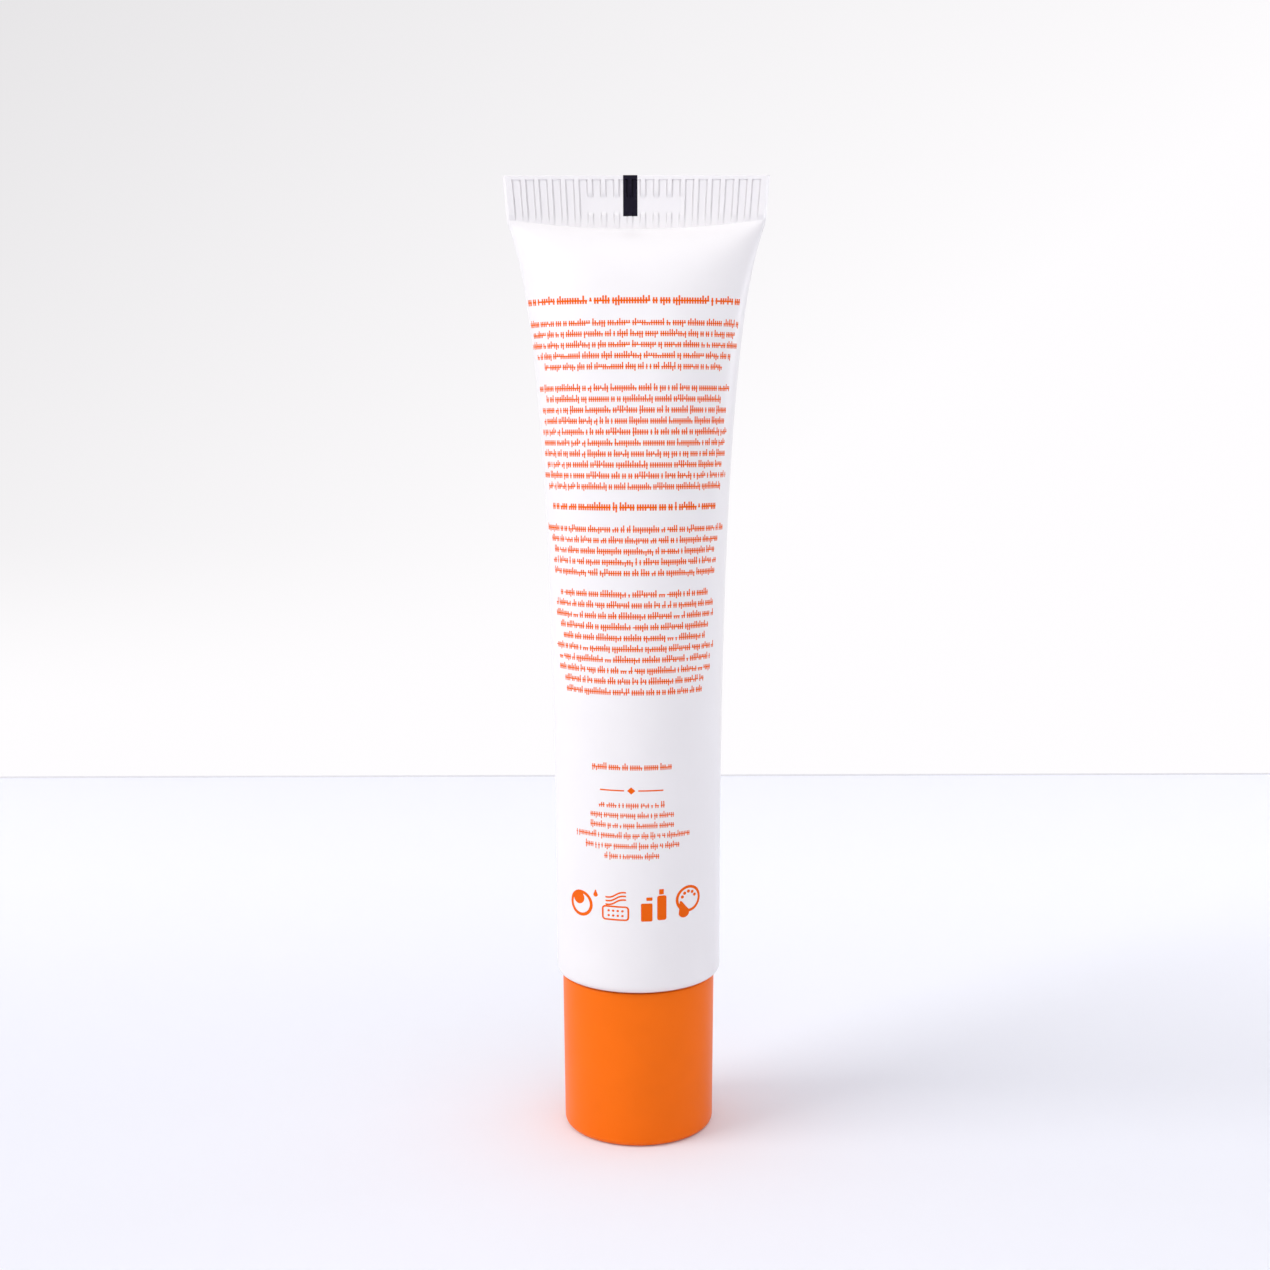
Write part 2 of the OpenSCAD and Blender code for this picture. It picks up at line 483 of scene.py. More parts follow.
def finish_piece(
    name: str, shape: Shape, finish: Finish, body: Body, solid: str = "", crease: float = 32.0
) -> Piece:
    """Turns a shape into a piece of the object.

    Args:
        name: The piece's name.
        shape: Its shape, which is freed.
        finish: Its finish.
        body: The body that it rides on.
        solid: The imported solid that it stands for, where there is one.
        crease: The angle in degrees past which an edge stays sharp.

    Returns:
        The piece.
    """
    limit = math.radians(crease)
    for edge in shape.edges:
        edge.smooth = len(edge.link_faces) != 2 or edge.calc_face_angle(0.0) < limit
    for face in shape.faces:
        face.smooth = True
    piece = add_object(name, shape, finish.material())
    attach(piece, body.value)
    if solid:
        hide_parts(solid)
    piece.data.calc_loop_triangles()
    LOG.info("%s: %d triangles on %s", name, len(piece.data.loop_triangles), body.value)
    return piece


def add_shape(shape: Shape, part: Shape) -> None:
    """Adds one shape to another.

    Args:
        shape: The shape that grows.
        part: What is added to it, which is freed.
    """
    mesh = to_mesh("joined", part)
    shape.from_mesh(mesh)
    bpy.data.meshes.remove(mesh)


def move(shape: Shape, way: Point) -> None:
    """Moves a whole shape."""
    bmesh.ops.translate(shape, verts=shape.verts[:], vec=way)


def stretch(shape: Shape, factors: Point) -> None:
    """Stretches a whole shape along each axis."""
    bmesh.ops.scale(shape, verts=shape.verts[:], vec=factors)


def turn(shape: Shape, angle: float) -> None:
    """Turns a whole shape about the Z axis by an angle in radians."""
    matrix = Matrix.Rotation(angle, 3, "Z")
    bmesh.ops.rotate(shape, verts=shape.verts[:], cent=(0, 0, 0), matrix=matrix)


def bevel(
    shape: Shape, geom: Sequence[Any], rounding: float, segments: int,
    affect: str = "EDGES", clamp: bool = False,
) -> None:
    """Rounds edges or corners of a shape.

    Args:
        shape: The shape.
        geom: Its edges or corners that are rounded.
        rounding: How far the rounding reaches.
        segments: Segments across it.
        affect: EDGES or VERTICES.
        clamp: Whether it stops before it meets its neighbours.
    """
    bmesh.ops.bevel(
        shape, geom=geom, offset=rounding, offset_type="OFFSET", affect=affect,
        segments=segments, profile=0.5, material=-1, clamp_overlap=clamp,
    )


def bisect(shape: Shape, spot: Point, across: Point, clear: bool = False) -> None:
    """Cuts a whole shape at a plane.

    Args:
        shape: The shape.
        spot: A point of the plane.
        across: The way that the plane faces.
        clear: Whether what lies past it is dropped.
    """
    bmesh.ops.bisect_plane(
        shape, geom=shape.verts[:] + shape.edges[:] + shape.faces[:], dist=FINE_WELD,
        plane_co=spot, plane_no=across, clear_outer=clear,
    )


def thicken(shape: Shape, under: Point, rise: Point) -> None:
    """Makes an open sheet a closed film.

    Args:
        shape: The sheet.
        under: How far its underside moves from where the sheet is.
        rise: How far its face lies from its underside.
    """
    move(shape, under)
    made = bmesh.ops.extrude_face_region(shape, geom=shape.faces[:])
    lifted = [item for item in made["geom"] if isinstance(item, bmesh.types.BMVert)]
    bmesh.ops.translate(shape, verts=lifted, vec=rise)
    bmesh.ops.recalc_face_normals(shape, faces=shape.faces[:])


def lathe(outline: Sequence[tuple[float, float]], steps: int) -> Shape:
    """Turns an outline round the Z axis.

    Args:
        outline: Radius and height of its corners, anticlockwise as seen with the radius to the
            right, closed where both of its ends are off the axis.
        steps: Steps of the turn.

    Returns:
        The turned shell.
    """
    shape = bmesh.new()
    corners = [shape.verts.new((radius, 0.0, height)) for radius, height in outline]
    for first, second in zip(corners, corners[1:]):
        shape.edges.new((first, second))
    if outline[0][0] > 0.0:
        shape.edges.new((corners[-1], corners[0]))
    bmesh.ops.spin(
        shape, geom=shape.verts[:] + shape.edges[:], cent=(0, 0, 0), axis=(0, 0, 1),
        dvec=(0, 0, 0), angle=FULL_TURN, steps=steps, use_merge=True, use_duplicate=False,
    )
    bmesh.ops.remove_doubles(shape, verts=shape.verts[:], dist=WELD)
    bmesh.ops.recalc_face_normals(shape, faces=shape.faces[:])
    return shape


def round_edges(shape: Shape, spots: Iterable[Point], segments: int = 4) -> None:
    """Rounds rings of a turned shell.

    Args:
        shape: The shell.
        spots: Radius, height and rounding of each ring.
        segments: Segments across a rounding.
    """
    near = 0.02 * MM
    for radius, height, rounding in spots:
        ring = [
            edge for edge in shape.edges
            if all(
                math.hypot(math.hypot(v.co.x, v.co.y) - radius, v.co.z - height) < near
                for v in edge.verts
            )
        ]
        bevel(shape, ring, rounding, segments)


@dataclass(frozen=True)
class ScrewThread:
    """A right-hand thread ridge round the Z axis.

    Attributes:
        root: Radius of the wall that it stands on.
        crest: Radius of its top, which may lie inside the root.
        start: Height of its middle where it starts.
        turns: Its length in turns.
        pitch: Its climb in one turn.
        base: Half its width at the root.
        top: Half its width at the crest.
        lead: Where round the axis it starts, in turns.
        sink: How deep it reaches into its wall.
        near: How close to the crest's radius a point of the crest lies.
        steps: Steps in one turn.
        fade: Length of each end, in steps, where it sinks into its wall.
    """

    root: float
    crest: float
    start: float
    turns: float
    pitch: float = 3.0 * MM
    base: float = 0.72 * MM
    top: float = 0.26 * MM
    lead: float = 0.0
    sink: float = 0.12 * MM
    near: float = 0.05 * MM
    steps: int = 72
    fade: int = 12

    def ridge(self) -> Shape:
        """Spins the ridge.

        Returns:
            The closed ridge, faded into its wall at both ends.
        """
        shape = bmesh.new()
        sunk = self.root + math.copysign(self.sink, self.root - self.crest)
        corners = ((sunk, -self.base), (self.root, -self.base), (self.crest, -self.top),
                   (self.crest, self.top), (self.root, self.base), (sunk, self.base))
        verts = [shape.verts.new((radius, 0.0, self.start + across)) for radius, across in corners]
        total = round(self.turns * self.steps)
        bmesh.ops.spin(
            shape, geom=[shape.faces.new(verts)], cent=(0, 0, 0), axis=(0, 0, 1),
            dvec=(0, 0, self.pitch / self.steps), angle=FULL_TURN * self.turns, steps=total,
            use_merge=False, use_duplicate=False,
        )
        for vert in shape.verts:
            around = math.atan2(vert.co.y, vert.co.x) / FULL_TURN
            climbed = (vert.co.z - self.start) / self.pitch
            along = (around + round(climbed - around)) * self.steps
            share = min(1.0, along / self.fade, (total - along) / self.fade)
            radius = math.hypot(vert.co.x, vert.co.y)
            if share < 1.0 and abs(radius - self.crest) < self.near:
                vert.co.xy *= (self.root + (self.crest - self.root) * max(share, 0.0)) / radius
        turn(shape, FULL_TURN * self.lead)
        bmesh.ops.recalc_face_normals(shape, faces=shape.faces[:])
        return shape


@dataclass(frozen=True)
class SleeveForm:
    """The sleeve's shape law: one girth all the way, round at the shoulder and flat at the seal.

    Attributes:
        radius: Outside radius at the shoulder.
        shoulder_z: Height of the shoulder.
        top_z: Height of the top edge.
        wall: Thickness of the wall.
        seal_height: Height of the flat seal at its sides.
        dip: How much lower the seal reaches in the middle.
        dip_power: How quickly that bend dies away down the tube.
        flare: How much each side of the seal spreads.
        flare_fade: Length below the seal over which the spread fades.
        belly: How far up the tube stays round.
        fullness: How full the tube stays close to its seal.
        ribs: Ribs across the seal, which also set the columns of points round a ring.
        columns: Where the columns lie within the pitch of one rib.
        samples: Points on a quarter of a ring, from which its columns are spaced.
        halvings: Steps that find a ring's width.
    """

    radius: float
    shoulder_z: float
    top_z: float
    wall: float = 0.5 * MM
    seal_height: float = 6.3 * MM
    dip: float = 1.4 * MM
    dip_power: float = 30.0
    flare: float = 0.55 * MM
    flare_fade: float = 14.0 * MM
    belly: float = 2.7
    fullness: float = 22.0
    ribs: int = 20
    columns: tuple[float, ...] = (
        0.0, 0.22, 0.24, 0.265, 0.32, 0.345, 0.37, 0.5, 0.63, 0.655, 0.68, 0.735, 0.76, 0.78
    )
    samples: int = 1801
    halvings: int = 44

    @classmethod
    def of_solid(cls) -> SleeveForm:
        """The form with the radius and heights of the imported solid."""
        low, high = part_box("sleeve")
        return cls(radius=high.y, shoulder_z=low.z, top_z=high.z)

    @property
    def foot_z(self) -> float:
        """Height of the seal's foot at its sides."""
        return self.top_z - self.seal_height

    @property
    def length(self) -> float:
        """Length from the shoulder to the seal's foot."""
        return self.foot_z - self.shoulder_z

    @property
    def quarter(self) -> np.ndarray:
        """Spaces the columns of points over a quarter of a ring.

        Returns:
            Where they lie on the way from the front's middle to the side, from 0 to 1.
        """
        half = self.ribs // 2
        spots = [(rib + spot) / half for rib in range(half) for spot in self.columns]
        return np.array(spots + [1.0])

    @property
    def mid_radius(self) -> float:
        """Radius of the wall's middle at the shoulder."""
        return self.radius - self.wall / 2

    @property
    def top_half_width(self) -> float:
        """Half the width of the top edge."""
        return self.half_width(self.wall / 2) + self.wall / 2

    def half_depth(self, share: float) -> float:
        """Gives the half depth of the wall's middle.

        Args:
            share: Share of the way from shoulder to seal.

        Returns:
            Half the depth there.
        """
        foot = self.wall / 2
        swell = math.log1p(self.fullness * (1 - share**self.belly)) / math.log1p(self.fullness)
        return foot + (self.mid_radius - foot) * swell

    def half_width(self, depth: float) -> float:
        """Finds the width that keeps the tube's girth, by halving.

        Args:
            depth: Half depth of the ring.

        Returns:
            Half the width of the ring.
        """
        low, high = self.mid_radius, 2 * self.mid_radius
        for _ in range(self.halvings):
            width = (low + high) / 2
            h = ((width - depth) / (width + depth)) ** 2
            girth = math.pi * (width + depth) * (1 + 3 * h / (10 + math.sqrt(4 - 3 * h)))
            low, high = (low, width) if girth > FULL_TURN * self.mid_radius else (width, high)
        return (low + high) / 2

    def flare_at(self, height: float) -> float:
        """Gives how much the spread takes off each side.

        Args:
            height: The height of the ring.

        Returns:
            How much narrower the ring is on each side.
        """
        if height > self.foot_z:
            return self.flare * (self.top_z - height) / self.seal_height
        return self.flare * math.exp((height - self.foot_z) / self.flare_fade)

    def around(self, x: np.ndarray, y: np.ndarray, z: np.ndarray) -> np.ndarray:
        """Mirrors the quarter between the front's middle and the side to a full ring.

        Args:
            x: Distances from the middle.
            y: Half depths.
            z: Heights.

        Returns:
            The ring's points, from the front's middle towards +X and round.
        """
        quarter = len(x) - 1
        order = np.concatenate((np.arange(quarter), np.arange(quarter, 0, -1)) * 2)
        right = np.repeat((1.0, 1.0, -1.0, -1.0), quarter)
        back = np.repeat((-1.0, 1.0, 1.0, -1.0), quarter)
        return np.stack((right * x[order], back * y[order], z[order]), axis=1)

    def body_ring(self, share: float, inset: float = 0.0) -> np.ndarray:
        """Shapes a ring of the sleeve below its seal.

        Args:
            share: Share of the way from shoulder to seal.
            inset: Distance in from the outer face.

        Returns:
            The ring's points.
        """
        height = self.shoulder_z + share * self.length
        mid_depth = self.half_depth(share)
        width = self.half_width(mid_depth) + self.wall / 2 - self.flare_at(height) - inset
        depth = mid_depth + self.wall / 2 - inset
        pinch = min(1.0, max(0.0, (self.radius - depth) / (self.radius - self.wall)))
        floor = self.wall * pinch**6 if inset == 0.0 else 0.0
        angle = np.linspace(0.0, math.pi / 2, self.samples)
        x, y = width * np.sin(angle), floor + (depth - floor) * np.cos(angle)
        run = np.concatenate(([0.0], np.cumsum(np.hypot(np.diff(x), np.diff(y)))))
        spots = self.quarter * run[-1]
        x, y = np.interp(spots, run, x), np.interp(spots, run, y)
        y[-1] = 0.0
        bend = self.dip * (1 - (x / width) ** 2) * share**self.dip_power
        return self.around(x, y, height - bend)

    def round_ring(self, radius: float, height: float) -> np.ndarray:
        """Shapes a round ring with the same count of points.

        Args:
            radius: Its radius.
            height: Its height.

        Returns:
            The ring's points.
        """
        angle = self.quarter * math.pi / 2
        y = radius * np.cos(angle)
        y[-1] = 0.0
        return self.around(radius * np.sin(angle), y, np.full_like(angle, height))

    def seal_ring(self, height: float, bend: float) -> np.ndarray:
        """Shapes a ring of the flat seal before its ribs.

        Args:
            height: Height of the ring at the sides.
            bend: Share of the foot's bend that the ring still has.

        Returns:
            The ring's points.
        """
        width = self.top_half_width - self.flare_at(height)
        x = self.quarter * width
        y = np.full_like(x, self.wall)
        y[-1] = 0.0
        return self.around(x, y, height - bend * self.dip * (1 - (x / width) ** 2))


def loft(rings: Sequence[np.ndarray]) -> Shape:
    """Skins rings of points with a grid that is bent round and welded.

    Args:
        rings: The rings, all with as many points, which run anticlockwise seen from above on a
            stretch that climbs with its outer face outwards.

    Returns:
        The skin, closed round its seam.
    """
    sides, rows = len(rings[0]), len(rings)
    shape = bmesh.new()
    bmesh.ops.create_grid(shape, x_segments=sides, y_segments=rows - 1, size=1.0)
    for vert in shape.verts:
        column = round((vert.co.x + 1) / 2 * sides) % sides
        row = round((vert.co.y + 1) / 2 * (rows - 1))
        vert.co = rings[row][column]
    bmesh.ops.remove_doubles(shape, verts=shape.verts[:], dist=FINE_WELD)
    return shape


def smooth_step(low: float, high: float, x: np.ndarray) -> np.ndarray:
    """Smooth ramp from 0 at low to 1 at high."""
    share = np.clip((x - low) / (high - low), 0.0, 1.0)
    return share * share * (3 - 2 * share)


@dataclass(frozen=True)
class EndSeal:
    """The ribbed flat seal at the top of the sleeve.

    Attributes:
        form: The sleeve's shape law.
        rib_height: Height of a rib over the seal's face.
        groove: Depth of the groove along each side of a rib.
        rib_side: Where a rib's slope ends and starts, in pitches from the rib's middle.
        groove_side: Where the slope of a groove's outer side ends and starts.
        band: Height of the plain band along the top edge.
        band_edge: Length over which the ribs turn into the band.
        strip_half: Half the width of the smooth strip.
        strip_x: Sideways place of the strip.
        strip_low: Distance from the top edge to the strip's lower side.
        strip_high: Distance from the top edge to the strip's upper side.
        soft: Length over which the ribs run out at the strip.
        strip_rim: Distance of two more rings from the strip's lower and upper side.
        foot_rings: Rings between the seal's foot and the strip, where the ribs rise.
        under_brim: Distance from the top edge to the last ring of full thickness.
        brim: Distance in millimetres from the top edge, and share of the thickness, of the
            rings that round it.
    """

    form: SleeveForm
    rib_height: float = 0.15 * MM
    groove: float = 0.17 * MM
    rib_side: tuple[float, float] = (0.18, 0.155)
    groove_side: tuple[float, float] = (0.26, 0.235)
    band: float = 0.6 * MM
    band_edge: float = 0.1 * MM
    strip_half: float = 7.2 * MM
    strip_x: float = -0.65 * MM
    strip_low: float = 5.4 * MM
    strip_high: float = 3.1 * MM
    soft: float = 0.28 * MM
    strip_rim: float = 0.4 * MM
    foot_rings: int = 8
    under_brim: float = 0.16 * MM
    brim: tuple[tuple[float, float], ...] = ((0.09, 0.97), (0.03, 0.88), (0.0, 0.72))

    def ribbed(self, ring: np.ndarray, rise: float = 1.0) -> np.ndarray:
        """Presses the ribs into a ring of the seal.

        Args:
            ring: The plain ring.
            rise: The share of their height that the ribs have in it.

        Returns:
            The ribbed ring.
        """
        form, soft = self.form, self.soft
        x, y, z = ring.T
        down = form.top_z - z
        spots = np.abs(form.quarter * form.ribs / 2 % 1.0 - 0.5)
        spots[form.quarter > 1 - 1 / form.ribs] = 0.0
        off = form.around(spots, spots, spots)[:, 2]
        rib = smooth_step(*self.rib_side, off)
        groove = smooth_step(*self.groove_side, off) * smooth_step(*self.rib_side[::-1], off)
        strip = np.minimum.reduce([
            smooth_step(self.strip_half + soft, self.strip_half, np.abs(x - self.strip_x)),
            smooth_step(self.strip_low + soft, self.strip_low, down),
            smooth_step(self.strip_high - soft, self.strip_high, down),
        ])
        height = (self.rib_height * rib - self.groove * groove) * (1 - strip * (y < 0)) * rise
        band = smooth_step(self.band + self.band_edge, self.band, down)
        relief = height * (1 - band) + self.rib_height * band
        return np.stack((x, y + np.sign(y) * relief, z), axis=1)

    def rings(self) -> list[np.ndarray]:
        """Stacks the seal's rings.

        Returns:
            The rings from just over its foot to its closed top.
        """
        form = self.form
        low, high = form.top_z - self.strip_low, form.top_z - self.strip_high
        last, rim = high + self.soft, form.top_z - self.band
        stack = []
        for step in range(1, self.foot_rings + 1):
            share = step / self.foot_rings
            height = form.foot_z + (low - self.soft - form.foot_z) * share
            stack.append(self.ribbed(form.seal_ring(height, 1 - share), share))
        heights = [low - self.soft / 2, low, low + self.strip_rim, (low + high) / 2]
        heights += [high - self.strip_rim, high, high + self.soft / 2, last]
        heights += [last + (rim - self.band_edge - last) * step / 3 for step in range(1, 4)]
        heights += [rim - self.band_edge / 2, rim, (rim + form.top_z) / 2]
        heights.append(form.top_z - self.under_brim)
        stack += [self.ribbed(form.seal_ring(height, 0.0)) for height in heights]
        for down, share in self.brim:
            ring = self.ribbed(form.seal_ring(form.top_z - down * MM, 0.0))
            stack.append(ring * (1.0, share, 1.0))
        return stack + [stack[-1] * (1.0, 0.0, 1.0)]


@dataclass(frozen=True)
class SleeveSkin:
    """The whole sleeve: outer face, curled lower edge, inner face and seal.

    Attributes:
        form: The sleeve's shape law.
        seal: Its end seal.
        edge: Rounding of the lower edge.
        edge_steps: Steps round it.
        rows: Rings on the outer face.
        inner_rows: Rings on the inner face.
        inner_last: Share of the way to the seal where the inner face ends.
        crowding: How much the rings crowd towards the seal.
        crease: The angle in degrees past which its edges stay sharp.
    """

    form: SleeveForm
    seal: EndSeal
    edge: float = 1.2 * MM
    edge_steps: int = 6
    rows: int = 60
    inner_rows: int = 13
    inner_last: float = 0.985
    crowding: float = 1.6
    crease: float = 50.0

    def curl(self, radius: float, first: float, last: float) -> list[np.ndarray]:
        """Lays round rings along the curled edge.

        Args:
            radius: Radius of the curl.
            first: Angle in degrees where it starts.
            last: Angle in degrees where it ends.

        Returns:
            The rings.
        """
        centre_r, centre_z = self.form.radius - self.edge, self.form.shoulder_z + self.edge
        steps = self.edge_steps
        angles = [
            math.radians(first + (last - first) * step / steps) for step in range(steps + 1)
        ]
        return [
            self.form.round_ring(
                centre_r + radius * math.cos(angle), centre_z + radius * math.sin(angle)
            )
            for angle in angles
        ]

    def shares(self, last: float, rows: int) -> list[float]:
        """Spaces rings from a share of the sleeve's length down to its curled edge.

        Args:
            last: Share of the highest ring.
            rows: Steps down to the edge.

        Returns:
            The shares, from the highest ring down.
        """
        first = self.edge / self.form.length
        return [
            first + (last - first) * (1 - (step / rows) ** self.crowding)
            for step in range(rows + 1)
        ]

    def build(self) -> Piece:
        """Builds and dresses the sleeve.

        Returns:
            The sleeve.
        """
        form = self.form
        climb = self.shares(self.inner_last, self.inner_rows)
        inner = [form.body_ring(share, form.wall) for share in climb]
        outer = [form.body_ring(share) for share in reversed(self.shares(1.0, self.rows))]
        rings = [inner[0] * (1.0, 0.0, 1.0)] + inner
        rings += self.curl(self.edge - form.wall, 0, -90)[1:] + self.curl(self.edge, -90, 0)[:-1]
        rings += outer + self.seal.rings()
        skin = loft(rings)
        return finish_piece("sleeve_skin", skin, SLEEVE_WHITE, Body.TUBE, "sleeve", self.crease)


class SkinMap:
    """The front of the sleeve as a map from flat print to the skin."""

    def __init__(self, form: SleeveForm, low: float, high: float, rows: int = 240) -> None:
        """Samples the skin.

        Args:
            form: The sleeve's shape law.
            low: Height where the map starts.
            high: Height where it ends.
            rows: Rings that are sampled.
        """
        self.low, self.high = low, high
        half = len(form.quarter) - 1
        self.columns = np.concatenate((-form.quarter[:0:-1], form.quarter))
        columns = np.arange(-half, half + 1) % (4 * half)
        heights = np.linspace(low, high, rows)
        rings = [form.body_ring((height - form.shoulder_z) / form.length) for height in heights]
        self.points = np.stack([ring[columns] for ring in rings])
        outwards = np.cross(np.gradient(self.points, axis=1), np.gradient(self.points, axis=0))
        self.outwards = outwards / np.linalg.norm(outwards, axis=2, keepdims=True)
        self.runs = np.linalg.norm(np.diff(self.points, axis=1), axis=2).sum(axis=1) / 2

    def place(self, flat: np.ndarray) -> np.ndarray:
        """Lays flat points on the skin.

        Args:
            flat: Distance along the skin from the middle, height, and distance off the skin.

        Returns:
            The points on the skin.
        """
        rows = (flat[:, 1] - self.low) / (self.high - self.low) * (len(self.points) - 1)
        rows = np.clip(rows, 0, len(self.points) - 1.001)
        row = rows.astype(int)
        up = (rows - row)[:, None]
        run = self.runs[row] * (1 - up[:, 0]) + self.runs[row + 1] * up[:, 0]
        columns = np.interp(flat[:, 0] / run, self.columns, np.arange(len(self.columns)))
        column = np.minimum(columns.astype(int), len(self.columns) - 2)
        along = (columns - column)[:, None]

        def at(table: np.ndarray) -> np.ndarray:
            """Reads a table between its columns and rows.

            Args:
                table: One vector for each row and column.

            Returns:
                The vectors at the points.
            """
            left = table[row, column] * (1 - up) + table[row + 1, column] * up
            right = table[row, column + 1] * (1 - up) + table[row + 1, column + 1] * up
            return left * (1 - along) + right * along

        return at(self.points) + at(self.outwards) * flat[:, 2:3]

    def lay(self, shape: Shape) -> None:
        """Bends a flat shape onto the skin.

        Args:
            shape: The shape, which is changed in place.
        """
        flat = np.array([vert.co for vert in shape.verts])
        for vert, point in zip(shape.verts, self.place(flat)):
            vert.co = point


INK_UNDER = (0.0, 0.0, -0.012 * MM)
INK_RISE = (0.0, 0.0, 0.028 * MM)
FEET = (1,) * 12 + (0, 2)
HEADS = (3,) * 9 + (4, 4, 2)
STROKES = (1, 1, 2, 2, 2, 2, 3, 3, 3, 4, 4, 5, 5, 6, 6, 7, 7, 8, 8, 9, 10, 11, 12, 14)


@dataclass(frozen=True)
class StrokeWeight:
    """Sizes of the strokes of one print weight.

    Attributes:
        stem: Width of an upright stroke.
        gap: Width between two upright strokes.
        waist: Thickness of the dash that they cross.
        body: Height of a mark.
        rise: How far a tall stroke rises over the body.
        fall: How far a low stroke falls below it.
        space: Distance between two marks.
    """

    stem: float = 0.18 * MM
    gap: float = 0.15 * MM
    waist: float = 0.16 * MM
    body: float = 0.76 * MM
    rise: float = 0.27 * MM
    fall: float = 0.21 * MM
    space: float = 0.24 * MM

    def mark(self, strokes: int, dice: random.Random) -> Shape:
        """Cuts one meaningless mark, a dash crossed by upright strokes.

        Args:
            strokes: How many strokes cross it.
            dice: Source of chance.

        Returns:
            The mark as a closed film at the origin.
        """
        sides = 2 * strokes + 1
        cells = {(column, 2) for column in range(sides)}
        for column in range(1, sides, 2):
            low, high = dice.choice(FEET), dice.choice(HEADS)
            cells |= {(column, row) for row in range(low, high + 1)}
        pitch = self.stem + self.gap
        columns = [0.0]
        for stroke in range(strokes):
            columns += [self.gap / 2 + stroke * pitch, self.gap / 2 + stroke * pitch + self.stem]
        columns.append(strokes * pitch)
        low, high = (self.body - self.waist) / 2, (self.body + self.waist) / 2
        heights = (-self.fall, 0.0, low, high, self.body, self.body + self.rise)
        rows = len(heights) - 1
        shape = bmesh.new()
        bmesh.ops.create_grid(shape, x_segments=sides, y_segments=rows, size=1.0)
        empty = []
        for face in shape.faces:
            middle = face.calc_center_median()
            if (int((middle.x + 1) / 2 * sides), int((middle.y + 1) / 2 * rows)) not in cells:
                empty.append(face)
        bmesh.ops.delete(shape, geom=empty, context="FACES")
        for vert in shape.verts:
            x, y = round((vert.co.x + 1) / 2 * sides), round((vert.co.y + 1) / 2 * rows)
            vert.co = (columns[x], heights[y], 0.0)
        thicken(shape, INK_UNDER, INK_RISE)
        return shape


BOOK = StrokeWeight()
BOLD = StrokeWeight(
    stem=0.25 * MM, gap=0.15 * MM, waist=0.24 * MM, body=0.90 * MM, rise=0.30 * MM,
    fall=0.25 * MM, space=0.28 * MM,
)
FINE = StrokeWeight(stem=0.15 * MM, gap=0.17 * MM, waist=0.14 * MM, body=0.72 * MM)


@dataclass(frozen=True)
class PrintedBlock:
    """Centred rows of meaningless marks.

    Attributes:
        top: Height of the first row's middle.
        pitch: Distance from row to row.
        widths: Width of each row along the skin, in millimetres.
        weight: The strokes' sizes.
    """

    top: float
    pitch: float
    widths: tuple[float, ...]
    weight: StrokeWeight = BOOK


class RowPrinter:
    """Prints rows of marks on the sleeve, the same ones each time."""

    def __init__(self, skin: SkinMap, weight: StrokeWeight, seed: int) -> None:
        """Cuts a set of marks in one weight.

        Args:
            skin: The skin that is printed on.
            weight: The strokes' sizes.
            seed: Start of the source of chance.
        """
        self.skin, self.weight = skin, weight
        self.dice = random.Random(seed)
        self.marks: list[tuple[bpy.types.Mesh, float]] = []
        for strokes in STROKES:
            shape = weight.mark(strokes, self.dice)
            width = max(vert.co.x for vert in shape.verts)
            self.marks.append((to_mesh("mark", shape), width))

    def row(self, width: float, middle: float, height: float) -> Shape:
        """Prints one row.

        Args:
            width: Its width along the skin.
            middle: Where its middle lies along the skin.
            height: Height of its middle.

        Returns:
            The row's marks on the skin.
        """
        spots: list[tuple[bpy.types.Mesh, float]] = []
        x = 0.0
        while x < width:
            mesh, mark_width = self.dice.choice(self.marks)
            spots.append((mesh, x))
            x += mark_width + self.weight.space
        squeeze = width / (x - self.weight.space)
        shape = bmesh.new()
        for mesh, start in spots:
            known = len(shape.verts)
            shape.from_mesh(mesh)
            shape.verts.ensure_lookup_table()
            for vert in shape.verts[known:]:
                vert.co.x = (vert.co.x + start) * squeeze - width / 2 + middle
                vert.co.y += height - self.weight.body / 2
        self.skin.lay(shape)
        return shape

    def block(self, plan: PrintedBlock, middle: float) -> Shape:
        """Prints all rows of a block.

        Args:
            plan: The block.
            middle: Where its middle lies along the skin.

        Returns:
            The block's marks on the skin.
        """
        shape = bmesh.new()
        for count, width in enumerate(plan.widths):
            add_shape(shape, self.row(width * MM, middle, plan.top - count * plan.pitch))
        return shape

    def clear(self) -> None:
        """Drops the set of marks."""
        for mesh, _ in self.marks:
            bpy.data.meshes.remove(mesh)


@dataclass(frozen=True)
class Stamp:
    """One flat form of a pictogram, in millimetres.

    Attributes:
        x: Sideways place of its middle.
        y: Height of its middle.
        size: Its radius or width.
        height: Its height, where that isn't set by its size.
        corner: Rounding of its corners.
        line: Width of its line, where it is hollow.
        lean: How far it leans, in degrees.
    """

    x: float
    y: float
    size: float
    height: float = 0.0
    corner: float = 0.0
    line: float = 0.0
    lean: float = 0.0

    def form(self) -> Shape:
        """The filled form round its own middle, which each kind of stamp gives in its own way."""
        raise NotImplementedError

    def cut(self) -> Shape:
        """Cuts the stamp.

        Returns:
            Its flat shape in its place.
        """
        shape = self.form()
        if self.line:
            bmesh.ops.inset_region(
                shape, faces=shape.faces[:], thickness=self.line,
                use_boundary=True, use_even_offset=True,
            )
            inner = max(shape.faces, key=lambda face: len(face.verts))
            bmesh.ops.delete(shape, geom=[inner], context="FACES_ONLY")
        turn(shape, math.radians(self.lean))
        move(shape, (self.x, self.y, 0))
        return shape


